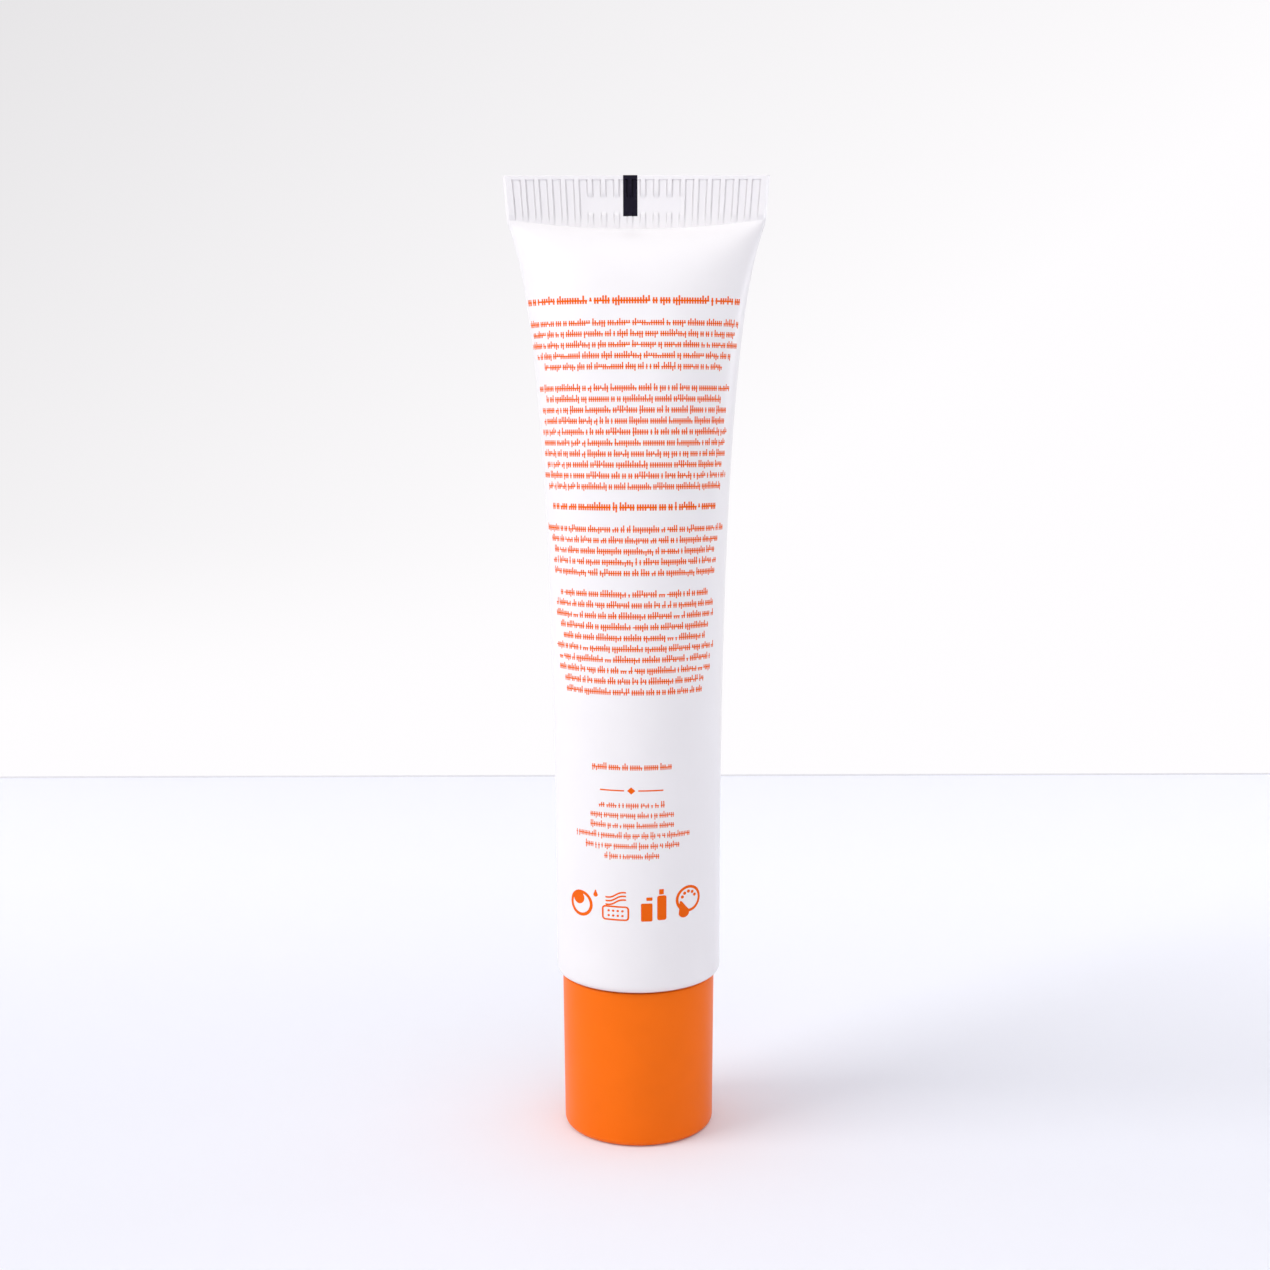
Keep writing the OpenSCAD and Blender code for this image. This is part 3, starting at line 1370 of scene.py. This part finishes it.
class Disc(Stamp):
    """A disc or ring."""

    def form(self) -> Shape:
        """Cuts a filled disc.

        Returns:
            The disc.
        """
        shape = bmesh.new()
        bmesh.ops.create_circle(shape, cap_ends=True, segments=28, radius=self.size)
        return shape


class Drop(Disc):
    """A drop with its tip up."""

    tip = 1.15
    waist = 0.35

    def form(self) -> Shape:
        """Draws a disc out to a tip.

        Returns:
            The drop.
        """
        shape = super().form()
        for vert in shape.verts:
            lift = max(0.0, vert.co.y / self.size)
            vert.co.y += self.size * self.tip * lift**3
            vert.co.x *= 1 - self.waist * lift
        return shape


class Box(Stamp):
    """A rectangle with rounded corners."""

    def form(self) -> Shape:
        """Cuts a filled rectangle.

        Returns:
            The rectangle.
        """
        shape = bmesh.new()
        bmesh.ops.create_grid(shape, x_segments=1, y_segments=1, size=0.5)
        stretch(shape, (self.size, self.height, 1))
        bevel(shape, shape.verts[:], self.corner, 4, "VERTICES", True)
        return shape


class Wave(Stamp):
    """A gently waved stroke."""

    swing = 0.16

    def form(self) -> Shape:
        """Bends a straight stroke.

        Returns:
            The stroke.
        """
        shape = bmesh.new()
        bmesh.ops.create_grid(shape, x_segments=14, y_segments=1, size=0.5)
        for vert in shape.verts:
            lift = self.swing * math.sin(vert.co.x * FULL_TURN)
            vert.co = (vert.co.x * self.size, vert.co.y * self.height + lift, 0.0)
        return shape


SUN_IN_RING = (Disc(-0.35, -0.4, 1.95, line=0.46), Disc(-0.75, 0.4, 0.98), Drop(2.05, 1.3, 0.34))
WAVES_OVER_BOX = (
    *(Wave(0.2, 0.45 + 0.55 * row, 2.9, 0.24, lean=16) for row in range(3)),
    Box(0.15, -1.2, 3.7, 2.2, 0.5, line=0.24),
    *(
        Disc(-0.75 + 0.62 * column, -0.85 - 0.72 * row, 0.17)
        for column in range(4) for row in range(2)
    ),
)
JAR_AND_FLASK = (
    Box(-0.95, -1.0, 1.5, 2.7, 0.18), Box(-0.6, 1.0, 0.8, 0.5, 0.1),
    Box(1.05, -0.4, 1.25, 3.7, 0.3), Box(1.0, 2.0, 0.62, 0.8, 0.08),
)
DROP_AND_RING = (
    Disc(0.3, 0.45, 2.0, line=0.4), Drop(-0.45, -1.45, 0.85, lean=18),
    *(
        Disc(0.3 + 1.05 * math.cos(angle), 0.55 + 1.0 * math.sin(angle), 0.24)
        for angle in (math.radians(20 + 36 * count) for count in range(5))
    ),
)
RULED_DIAMOND = (
    Box(0, 0, 0.75, 0.75, 0.02, lean=45), Box(-2.55, 0, 3.3, 0.2, 0.05),
    Box(2.55, 0, 3.3, 0.2, 0.05),
)


@dataclass(frozen=True)
class Pictogram:
    """A plain generic pictogram.

    Attributes:
        stamps: Its flat forms.
        x: Where its middle lies along the skin.
        y: Height of its middle.
        widen: How much wider than drawn it comes out.
        band: Width of the upright bands that it is cut into, so that it can bend.
    """

    stamps: tuple[Stamp, ...]
    x: float
    y: float = 37.5 * MM
    widen: float = 1.13
    band: float = 0.45 * MM

    def printed(self, skin: SkinMap) -> Shape:
        """Prints the pictogram.

        Args:
            skin: The skin that it is printed on.

        Returns:
            Its closed film on the skin.
        """
        shape = bmesh.new()
        for stamp in self.stamps:
            add_shape(shape, stamp.cut())
        stretch(shape, (self.widen * MM, MM, 1))
        move(shape, (self.x, self.y, 0))
        thicken(shape, INK_UNDER, INK_RISE)
        xs = [vert.co.x for vert in shape.verts]
        for step in range(math.ceil(min(xs) / self.band), math.floor(max(xs) / self.band) + 1):
            bisect(shape, (step * self.band, 0, 0), (1, 0, 0))
        skin.lay(shape)
        return shape


@dataclass(frozen=True)
class FrontPrint:
    """The orange print on the sleeve's front, all of it meaningless marks and plain pictograms.

    Attributes:
        form: The sleeve's shape law.
        low: Height of the lowest place that can be printed.
        high: Height of the highest place that can be printed.
        middle: Where the middle of headings and paragraphs lies along the skin.
        footer_middle: Where the footer's middle lies.
        headings: The bold rows.
        paragraphs: The blocks of small rows.
        footer: The blocks below them.
        pictograms: The pictograms, and the mark between two blocks of the footer.
    """

    form: SleeveForm
    low: float = 30 * MM
    high: float = 132 * MM
    middle: float = -0.8 * MM
    footer_middle: float = -1.0 * MM
    headings: tuple[PrintedBlock, ...] = (
        PrintedBlock(124.9 * MM, 0.0, (34.0,), BOLD),
        PrintedBlock(95.55 * MM, 0.0, (27.3,), BOLD),
    )
    paragraphs: tuple[PrintedBlock, ...] = (
        PrintedBlock(121.7 * MM, 1.555 * MM, (34.3, 32.9, 34.6, 31.5, 28.0)),
        PrintedBlock(
            112.45 * MM, 1.555 * MM, (31.9, 28.1, 30.8, 30.1, 31.7, 30.9, 31.3, 29.7, 32.3, 29.4)
        ),
        PrintedBlock(92.36 * MM, 1.555 * MM, (31.9, 28.8, 27.2, 28.2, 27.6)),
        PrintedBlock(
            83.08 * MM, 1.57 * MM, (24.5, 27.1, 27.3, 24.9, 23.5, 27.7, 26.0, 26.1, 23.1, 22.4)
        ),
    )
    footer: tuple[PrintedBlock, ...] = (
        PrintedBlock(57.99 * MM, 0.0, (12.1,)),
        PrintedBlock(52.40 * MM, 1.5 * MM, (9.9, 12.8, 12.8), FINE),
        PrintedBlock(47.88 * MM, 1.525 * MM, (18.2, 14.6, 8.2), FINE),
    )
    pictograms: tuple[Pictogram, ...] = (
        Pictogram(SUN_IN_RING, -8.9 * MM), Pictogram(WAVES_OVER_BOX, -3.6 * MM),
        Pictogram(JAR_AND_FLASK, 2.3 * MM), Pictogram(DROP_AND_RING, 7.6 * MM),
        Pictogram(RULED_DIAMOND, -1.0 * MM, 54.61 * MM),
    )

    def build(self) -> None:
        """Builds and dresses the print."""
        skin = SkinMap(self.form, self.low, self.high)
        groups = (
            ("print_headings", self.headings, self.middle),
            ("print_paragraphs", self.paragraphs, self.middle),
            ("print_footer", self.footer, self.footer_middle),
        )
        for seed, (name, blocks, middle) in enumerate(groups):
            shape = bmesh.new()
            for count, block in enumerate(blocks):
                printer = RowPrinter(skin, block.weight, 100 * seed + count)
                add_shape(shape, printer.block(block, middle))
                printer.clear()
            finish_piece(name, shape, PRINT_ORANGE, Body.TUBE)
        shape = bmesh.new()
        for pictogram in self.pictograms:
            add_shape(shape, pictogram.printed(skin))
        finish_piece("print_pictograms", shape, PRINT_ORANGE, Body.TUBE)


@dataclass(frozen=True)
class CutMark:
    """The dark mark on the seal that a filling machine reads.

    Attributes:
        sleeve: The dressed sleeve that it is printed on.
        left: Its left side.
        right: Its right side.
        length: Its length down from the top edge.
        ink: How far its ink stands over the sleeve, and half as far into it.
        front: How far from the middle plane a face of the front lies at least.
        facing: How far a face of the front has to face forwards, as a share.
    """

    sleeve: Piece
    left: float = -1.93 * MM
    right: float = 0.15 * MM
    length: float = 5.85 * MM
    ink: float = 0.02 * MM
    front: float = 0.25 * MM
    facing: float = 0.05

    def build(self) -> None:
        """Builds and dresses the mark from the faces that it covers."""
        top = max(vert.co.z for vert in self.sleeve.data.vertices)
        shape = bmesh.new()
        shape.from_mesh(self.sleeve.data)
        bisect(shape, (self.left, 0, 0), (-1, 0, 0), True)
        bisect(shape, (self.right, 0, 0), (1, 0, 0), True)
        bisect(shape, (0, 0, top - self.length), (0, 0, -1), True)
        spare = [
            face for face in shape.faces
            if face.calc_center_median().y > -self.front or face.normal.y > -self.facing
        ]
        bmesh.ops.delete(shape, geom=spare, context="FACES")
        thicken(shape, (0, self.ink / 2, 0), (0, -1.5 * self.ink, 0))
        finish_piece("cut_mark", shape, MARK_DARK, Body.TUBE)


@dataclass(frozen=True)
class ShoulderAndNeck:
    """The moulded shoulder, its welded skirt and the threaded neck.

    Attributes:
        mouth_z: Height of the mouth.
        skirt_top: Height of the skirt's top.
        skirt: Outer radius of the skirt.
        skirt_height: Height of the skirt's top over the shoulder's face.
        mouth: Radius of the mouth.
        mouth_length: Length of the mouth's straight bore.
        core: Radius of the neck between its threads.
        crest: Radius over the thread.
        collar: Radius of the collar at the neck's root.
        collar_height: Height of the collar, and of the cone under it.
        hollow: Radius of the neck's hollow at its wide end.
        hollow_lift: Height of that end over the shoulder's face.
        floor_lift: Height of the inner floor's outer edge over the shoulder's face.
        wall: Wall of the skirt.
        edge: Rounding between the shoulder and its skirt.
        edge_lift: Height of that rounding's centre over the shoulder's face.
        thread_lift: Height of the thread's start over the mouth.
        thread_turns: Turns of the thread.
        steps: Steps round the axis.
    """

    mouth_z: float
    skirt_top: float
    skirt: float
    skirt_height: float = 4.0 * MM
    mouth: float = 2.5 * MM
    mouth_length: float = 1.2 * MM
    core: float = 6.75 * MM
    crest: float = 7.45 * MM
    collar: float = 7.4 * MM
    collar_height: float = 0.45 * MM
    hollow: float = 5.9 * MM
    hollow_lift: float = 1.4 * MM
    floor_lift: float = 2.5 * MM
    wall: float = 1.0 * MM
    edge: float = 0.67 * MM
    edge_lift: float = 1.2 * MM
    thread_lift: float = 1.6 * MM
    thread_turns: float = 2.3
    steps: int = 144

    @classmethod
    def of_solid(cls) -> ShoulderAndNeck:
        """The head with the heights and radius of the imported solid."""
        low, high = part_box("tube_head")
        return cls(mouth_z=low.z, skirt_top=high.z, skirt=high.x)

    def build(self) -> None:
        """Builds and dresses the head."""
        face, foot = self.skirt_top - self.skirt_height, self.mouth_z
        inside, edge_r = self.skirt - self.wall, self.skirt - self.edge
        cone_z, hollow_z = face - 2 * self.collar_height, face + self.hollow_lift
        edge_z = face + self.edge_lift
        edge = [
            (edge_r + self.edge * math.cos(angle), edge_z + self.edge * math.sin(angle))
            for angle in (math.radians(-90 + 15 * step) for step in range(7))
        ]
        outline = [
            (self.mouth, foot), (self.core, foot), (self.core, cone_z),
            (self.collar, face - self.collar_height), (self.collar, face), (edge_r, face), *edge,
            (self.skirt, self.skirt_top), (inside, self.skirt_top),
            (inside, face + self.floor_lift), (self.hollow, hollow_z),
            (self.mouth, foot + self.mouth_length),
        ]
        shape = lathe(outline, self.steps)
        round_edges(shape, [
            (self.core, foot, 0.45 * MM), (self.mouth, foot, 0.25 * MM),
            (self.core, cone_z, 0.3 * MM), (self.collar, face, 0.12 * MM),
            (self.hollow, hollow_z, 0.5 * MM),
        ])
        thread = ScrewThread(self.core, self.crest, foot + self.thread_lift, self.thread_turns)
        add_shape(shape, thread.ridge())
        finish_piece("neck_and_shoulder", shape, HEAD_WHITE, Body.TUBE, "tube_head")


@dataclass(frozen=True)
class ScrewCap:
    """The plain orange cap with its threaded socket and webs.

    Attributes:
        length: Height of the cap.
        rim: Radius at the open rim.
        end: Radius at the closed end.
        shell: Wall of the outer shell.
        end_wall: Thickness of the closed end.
        end_edge: Rounding of the closed end.
        dish: Radius of the shallow dish in the end.
        dish_depth: Its depth.
        socket: Radius of the socket's bore.
        socket_out: Outer radius of the socket.
        socket_drop: How far the socket's mouth lies below the rim.
        crest: Radius inside the socket's thread.
        thread_lift: Height of the thread's start over the ledge.
        thread_turns: Turns of the thread.
        thread_lead: Where round the axis it starts, in turns.
        thread_base: Half the width of its foot.
        thread_top: Half the width of its top.
        chamber: Radius of the chamber below the disc.
        ledge_z: Height of the ledge that carries the disc.
        webs: Number of webs.
        web_wall: Thickness of a web.
        web_drop: How far a web's top lies below the rim.
        web_root: How deep a web reaches into what it joins.
        web_edge: Rounding of a web's top.
        gate: Radius and height of the corners of the moulding gate's stub in the dish.
        steps: Steps round the axis.
    """

    length: float
    rim: float
    end: float = 11.4 * MM
    shell: float = 1.3 * MM
    end_wall: float = 1.8 * MM
    end_edge: float = 1.0 * MM
    dish: float = 8.5 * MM
    dish_depth: float = 0.4 * MM
    socket: float = 7.58 * MM
    socket_out: float = 8.78 * MM
    socket_drop: float = 1.0 * MM
    crest: float = 6.95 * MM
    thread_lift: float = 2.7 * MM
    thread_turns: float = 2.1
    thread_lead: float = -0.37
    thread_base: float = 0.62 * MM
    thread_top: float = 0.22 * MM
    chamber: float = 5.18 * MM
    ledge_z: float = 13.0 * MM
    webs: int = 12
    web_wall: float = 0.8 * MM
    web_drop: float = 3.0 * MM
    web_root: float = 0.3 * MM
    web_edge: float = 0.15 * MM
    gate: tuple[tuple[float, float], ...] = (
        (0.0, 0.2 * MM), (0.9 * MM, 0.2 * MM), (1.1 * MM, 0.6 * MM), (0.0, 0.6 * MM)
    )
    steps: int = 192

    @classmethod
    def of_solid(cls) -> ScrewCap:
        """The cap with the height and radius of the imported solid."""
        _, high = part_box("cap")
        return cls(length=high.z, rim=high.x)

    def web(self, count: int) -> Shape:
        """Shapes one web between socket and shell.

        Args:
            count: Which of the webs it is.

        Returns:
            The web in its place.
        """
        low, high = self.end_wall - self.web_root, self.length - self.web_drop
        inner, outer = self.socket_out - self.web_root, self.end - self.shell + self.web_root
        shape = bmesh.new()
        bmesh.ops.create_cube(shape, size=1.0)
        stretch(shape, (outer - inner, self.web_wall, high - low))
        move(shape, ((inner + outer) / 2, 0, (low + high) / 2))
        crown = [edge for edge in shape.edges if all(v.co.z > high - 1e-6 for v in edge.verts)]
        bevel(shape, crown, self.web_edge, 2)
        turn(shape, FULL_TURN * count / self.webs)
        return shape

    def build(self) -> None:
        """Builds and dresses the cap."""
        top, socket_top = self.length, self.length - self.socket_drop
        bore, dish_edge = self.end - self.shell, self.dish + self.dish_depth
        outline = [
            (0.0, self.dish_depth), (self.dish, self.dish_depth), (dish_edge, 0.0), (self.end, 0.0),
            (self.rim, top), (self.rim - self.shell, top), (bore, self.end_wall),
            (self.socket_out, self.end_wall), (self.socket_out, socket_top),
            (self.socket, socket_top), (self.socket, self.ledge_z), (self.chamber, self.ledge_z),
            (self.chamber, self.end_wall), (0.0, self.end_wall),
        ]
        shape = lathe(outline, self.steps)
        round_edges(shape, [
            (self.end, 0.0, self.end_edge), (self.rim, top, 0.3 * MM),
            (self.rim - self.shell, top, 0.2 * MM), (self.dish, self.dish_depth, 0.15 * MM),
            (dish_edge, 0.0, 0.12 * MM), (bore, self.end_wall, 0.4 * MM),
            (self.socket_out, self.end_wall, 0.3 * MM), (self.socket_out, socket_top, 0.25 * MM),
            (self.socket, socket_top, 0.3 * MM), (self.chamber, self.end_wall, 0.4 * MM),
            (self.chamber, self.ledge_z, 0.15 * MM),
        ], 6)
        for count in range(self.webs):
            add_shape(shape, self.web(count))
        thread = ScrewThread(
            self.socket, self.crest, self.ledge_z + self.thread_lift, self.thread_turns,
            base=self.thread_base, top=self.thread_top, lead=self.thread_lead,
        )
        add_shape(shape, thread.ridge())
        add_shape(shape, lathe(self.gate, self.steps // 6))
        finish_piece("cap_body", shape, CAP_ORANGE, Body.CAP, "cap")


@dataclass(frozen=True)
class SealDisc:
    """The soft disc that the mouth is screwed down on.

    Attributes:
        low: Height of its underside.
        high: Height of its face.
        radius: Its radius.
        edge: Rounding of its edges.
        dent: Depth of the ring that the mouth leaves in it.
        dent_in: Inner radius of that ring.
        dent_out: Outer radius of that ring.
        dent_side: Width of each of its slopes.
        steps: Steps round the axis.
    """

    low: float
    high: float
    radius: float
    edge: float = 0.12 * MM
    dent: float = 0.12 * MM
    dent_in: float = 2.65 * MM
    dent_out: float = 6.35 * MM
    dent_side: float = 0.15 * MM
    steps: int = 128

    @classmethod
    def of_solid(cls) -> SealDisc:
        """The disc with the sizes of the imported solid."""
        low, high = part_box("seal_disc")
        return cls(low=low.z, high=high.z, radius=high.x)

    def build(self) -> None:
        """Builds and dresses the disc."""
        dented = self.high - self.dent
        outline = [
            (0.0, self.low), (self.radius, self.low), (self.radius, self.high),
            (self.dent_out, self.high), (self.dent_out - self.dent_side, dented),
            (self.dent_in + self.dent_side, dented), (self.dent_in, self.high), (0.0, self.high),
        ]
        shape = lathe(outline, self.steps)
        round_edges(shape, [(self.radius, z, self.edge) for z in (self.low, self.high)], 3)
        finish_piece("seal_disc_foam", shape, DISC_FOAM, Body.DISC, "seal_disc")


@dataclass(frozen=True)
class CreamFill:
    """The cream that fills the mouth, the neck and most of the sleeve.

    Attributes:
        form: The sleeve's shape law.
        gap: Distance from the walls round it.
        level: Share of the sleeve's length that it fills.
        plug: Radius, and height over the mouth, of its rings up to the neck's hollow.
        foot: Radius, and height over the shoulder, of its rings up to the sleeve's wall.
        rows: Steps of rings along the sleeve.
        crown: Share of the last ring, and drop in millimetres, of the rings of its face.
    """

    form: SleeveForm
    gap: float = 0.15 * MM
    level: float = 0.84
    plug: tuple[tuple[float, float], ...] = (
        (0.05 * MM, 0.0), (1.6 * MM, 0.0), (2.2 * MM, 0.12 * MM), (2.35 * MM, 0.6 * MM),
        (2.35 * MM, 1.2 * MM),
    )
    foot: tuple[tuple[float, float], ...] = (
        (5.75 * MM, 1.55 * MM), (10.82 * MM, 2.65 * MM), (10.82 * MM, 4.15 * MM)
    )
    rows: int = 40
    crown: tuple[tuple[float, float], ...] = ((0.97, 0.0), (0.9, 0.0), (0.6, 0.35), (0.25, 0.6))

    def build(self) -> None:
        """Builds and dresses the cream."""
        form = replace(self.form, columns=(0.0, 0.25, 0.5, 0.75))
        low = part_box("cream")[0].z
        first = self.foot[-1][1] / form.length
        inset = form.wall + self.gap
        rings = [form.round_ring(radius, low + up) for radius, up in self.plug]
        rings += [form.round_ring(radius, form.shoulder_z + up) for radius, up in self.foot]
        rings += [
            form.body_ring(first + (self.level - first) * step / self.rows, inset)
            for step in range(self.rows + 1)
        ]
        rim = rings[-1]
        rings += [rim * (share, share, 1.0) - (0.0, 0.0, drop * MM) for share, drop in self.crown]
        rings[0] = rings[0] * (0.0, 0.0, 1.0)
        rings.append(rings[-1] * (0.0, 0.0, 1.0))
        finish_piece("cream_fill", loft(rings), CREAM_IVORY, Body.TUBE, "cream")


@dataclass(frozen=True)
class SoftBox:
    """A large soft lamp that looks at the tube.

    Attributes:
        name: Its name.
        azimuth: Its bearing in degrees, 0 at the camera and 90 to the right.
        elevation: Its height angle in degrees.
        distance: Its distance from the tube's middle.
        width: Its width and height.
        level: How bright it makes a white surface that faces it.
        colour: Its colour.
    """

    name: str
    azimuth: float
    elevation: float
    distance: float
    width: float
    level: float
    colour: Point = (1.0, 1.0, 1.0)

    def hang(self, target: Vector) -> None:
        """Hangs the lamp and turns it to its target.

        Args:
            target: What it looks at.
        """
        lamp = bpy.data.lights.new(self.name, "AREA")
        lamp.shape, lamp.size = "SQUARE", self.width
        lamp.energy = self.level * (math.pi * self.distance) ** 2
        lamp.color = self.colour
        side, lift = math.radians(self.azimuth), math.radians(self.elevation)
        across, up = math.cos(lift), math.sin(lift)
        back = Vector((math.sin(side) * across, -math.cos(side) * across, up))
        holder = bpy.data.objects.new(self.name, lamp)
        holder.location = target + back * self.distance
        holder.rotation_euler = (-back).to_track_quat("-Z", "Y").to_euler()
        holder.visible_camera = False
        bpy.context.scene.collection.objects.link(holder)


@dataclass(frozen=True)
class Studio:
    """Pale floor and wall, soft light and the camera.

    Attributes:
        wall_y: Distance of the wall behind the tube.
        reach: Half the size of floor and wall.
        joint: Height and depth of the darker strip between floor and wall, painted shade in their
            corner.
        floor_shade: The floor's matt colour.
        floor_glow_and_painted_light: What the floor adds where it is seen: evenly everywhere, and
            painted light towards the wall and for each metre to the right.
        painted_light_run: Where, along Y, the painted light towards the wall starts and is full.
        wall_shade: The wall's matt colour.
        wall_glow: The wall's colour as it is seen.
        wall_painted_shade: How much painted shade darkens the wall at most.
        wall_slope: How fast the painted shade grows for each metre upwards and to the left.
        wall_start: Height where the painted shade starts straight behind the tube.
        wall_rise: Heights between which that sets in.
        joint_shade_colour: The strip's matt colour, darkened as painted shade.
        joint_glow: What the strip adds where it is seen.
        sky: The colour of the light from all round.
        camera: The camera's place.
        pitch: How far it looks down, in degrees.
        roll: How far it is rolled, in degrees.
        lens: Its focal length in millimetres on a 36 mm sensor.
        lamps: The lamps.
        target: What they look at.
        ambient: Brightness of the light from all round.
        lean: How much brighter than that it is from the right, and darker from the left.
    """

    wall_y: float = 0.257
    reach: float = 2.5
    joint: tuple[float, float] = (0.5 * MM, 0.2 * MM)
    floor_shade: Point = (0.80, 0.81, 0.865)
    floor_glow_and_painted_light: Point = (0.06, 0.11, 0.15)
    painted_light_run: tuple[float, float] = (-0.02, 0.16)
    wall_shade: Point = (0.8, 0.8, 0.82)
    wall_glow: Point = (1.0, 0.985, 1.0)
    wall_painted_shade: float = 0.21
    wall_slope: tuple[float, float] = (3.0, 2.29)
    wall_start: float = 0.059
    wall_rise: tuple[float, float] = (0.02, 0.08)
    joint_shade_colour: Point = (0.66, 0.655, 0.68)
    joint_glow: float = 0.2
    sky: Point = (0.97, 0.96, 0.995)
    camera: Point = (-0.38 * MM, -250 * MM, 106.9 * MM)
    pitch: float = 7.08
    roll: float = -0.16
    lens: float = 47.4
    lamps: tuple[SoftBox, ...] = (
        SoftBox("key_lamp", -70, 36, 2.0, 1.12, 0.57, (1.0, 0.985, 0.97)),
        SoftBox("top_lamp", 28, 60, 0.35, 0.22, 0.085),
        SoftBox("front_lamp", 8, 28, 0.2, 0.1, 0.07),
        SoftBox("rim_lamp", 118, 14, 0.5, 0.2, 0.10, (0.97, 0.98, 1.0)),
    )
    target: Point = (0.0, 0.0, 70 * MM)
    ambient: float = 0.61
    lean: float = 0.5

    def seen(self, tree: ShaderTree) -> Value:
        """Tells what is looked at from what is lit.

        Args:
            tree: The nodes that it is added to.

        Returns:
            1 for rays from the camera, a mirror or a glass, else 0.
        """
        rays = tree.node("ShaderNodeLightPath").outputs
        first, second = Value(tree, rays["Is Camera Ray"]), Value(tree, rays["Is Glossy Ray"])
        total = first + second + Value(tree, rays["Is Transmission Ray"])
        return total.between(0.0, 1.0)

    def sheet_material(
        self, name: str, shade: Point, glow: float, far: float = 0.0, right: float = 0.0
    ) -> bpy.types.Material:
        """Makes a matt material that shows itself a little brighter to the camera.

        Args:
            name: Its name.
            shade: Its matt colour.
            glow: What is added to it where it is seen.
            far: How much more is added towards the wall, as painted light.
            right: How much more is added for each metre to the right, as painted light.

        Returns:
            The material.
        """
        material = bpy.data.materials.new(name)
        tree = ShaderTree(material)
        matt = tree.node("ShaderNodeBsdfDiffuse", None, {"Color": (*shade, 1.0)}).outputs[0]
        # Painted light: the seen glow grows towards the wall and to the right.
        back = far * tree.axis("Y").between(*self.painted_light_run)
        added = tree.held(glow + back + right * tree.axis("X"))
        inputs = {"Strength": added * self.seen(tree)}
        light = tree.node("ShaderNodeEmission", None, inputs).outputs[0]
        tree.finish(tree.node("ShaderNodeAddShader", None, {0: matt, 1: light}).outputs[0])
        return material

    def wall_material(self) -> bpy.types.Material:
        """Makes the pale wall, with painted shade that darkens it a little towards its upper left.

        Returns:
            The material.
        """
        material = bpy.data.materials.new("wall_paper")
        tree = ShaderTree(material)
        height = tree.axis("Z")
        up, left = self.wall_slope
        # Painted shade: the wall's seen brightness falls towards its upper left.
        slope = up * (height - self.wall_start) - left * tree.axis("X")
        shade = 1.0 - self.wall_painted_shade * tree.held(slope) * height.between(*self.wall_rise)
        inputs = {"Color": (*self.wall_shade, 1.0)}
        matt = tree.node("ShaderNodeBsdfDiffuse", None, inputs).outputs[0]
        inputs = {"Color": (*self.wall_glow, 1.0), "Strength": shade}
        light = tree.node("ShaderNodeEmission", None, inputs).outputs[0]
        inputs = {0: self.seen(tree), 1: matt, 2: light}
        tree.finish(tree.node("ShaderNodeMixShader", None, inputs).outputs[0])
        return material

    def sheet(self, name: str, low: Point, high: Point, material: bpy.types.Material) -> None:
        """Adds a flat stage sheet.

        Args:
            name: Its name.
            low: Its left near or lower corner.
            high: Its right far or upper corner.
            material: Its material.
        """
        shape = bmesh.new()
        bmesh.ops.create_grid(shape, x_segments=1, y_segments=1, size=1.0)
        for vert in shape.verts:
            x, y = (high if vert.co.x > 0 else low)[0], high if vert.co.y > 0 else low
            vert.co = (x, *y[1:])
        add_object(name, shape, material)

    def light_world(self) -> None:
        """Lights the scene evenly and shows white where nothing else is seen."""
        world = bpy.data.worlds.new("studio_light")
        bpy.context.scene.world = world
        tree = ShaderTree(world)
        seen = self.seen(tree)
        way = tree.node("ShaderNodeTexCoord").outputs["Generated"]
        right = Value(tree, tree.node("ShaderNodeSeparateXYZ", None, {0: way}).outputs["X"])
        strength = seen + (1.0 - seen) * (self.ambient * (1.0 + self.lean * right))
        inputs = {"Color": (*self.sky, 1.0), "Strength": strength}
        shown = tree.node("ShaderNodeBackground", None, inputs).outputs[0]
        tree.node("ShaderNodeOutputWorld", None, {"Surface": shown})

    def place_camera(self) -> None:
        """Places the camera where the photograph was taken from."""
        camera = bpy.data.cameras.new("camera")
        camera.lens, camera.sensor_width = self.lens, 36.0
        camera.clip_start = 5 * MM
        holder = bpy.data.objects.new("camera", camera)
        pitch = Matrix.Rotation(math.radians(90 - self.pitch), 4, "X")
        roll = Matrix.Rotation(math.radians(self.roll), 4, "Z")
        holder.matrix_world = Matrix.Translation(self.camera) @ (pitch @ roll)
        bpy.context.scene.collection.objects.link(holder)
        bpy.context.scene.camera = holder

    def build(self) -> None:
        """Builds floor, wall, light and camera."""
        r, y = self.reach, self.wall_y
        floor = self.sheet_material("floor_paper", self.floor_shade, *self.floor_glow_and_painted_light)
        wall = self.wall_material()
        # The joint strip is a darker sheet of painted shade in the corner between floor and wall.
        shade = self.sheet_material("joint_shade", self.joint_shade_colour, self.joint_glow)
        joint_height, joint_depth = self.joint
        joint_y = y - joint_depth
        self.sheet("floor", (-r, -r, 0), (r, y, 0), floor)
        self.sheet("wall", (-r, y, 0), (r, y, r), wall)
        self.sheet("joint", (-r, joint_y, 0), (r, joint_y, joint_height), shade)
        for lamp in self.lamps:
            lamp.hang(Vector(self.target))
        self.light_world()
        bpy.context.scene.view_settings.view_transform = "Standard"
        self.place_camera()


def main() -> None:
    """Builds the studio and the tube, piece by piece."""
    logging.basicConfig(level=logging.INFO, format="%(name)s: %(message)s")
    Studio().build()
    form = SleeveForm.of_solid()
    sleeve = SleeveSkin(form, EndSeal(form)).build()
    CutMark(sleeve).build()
    FrontPrint(form).build()
    ShoulderAndNeck.of_solid().build()
    ScrewCap.of_solid().build()
    SealDisc.of_solid().build()
    CreamFill(form).build()


if __name__ == "__main__":
    main()
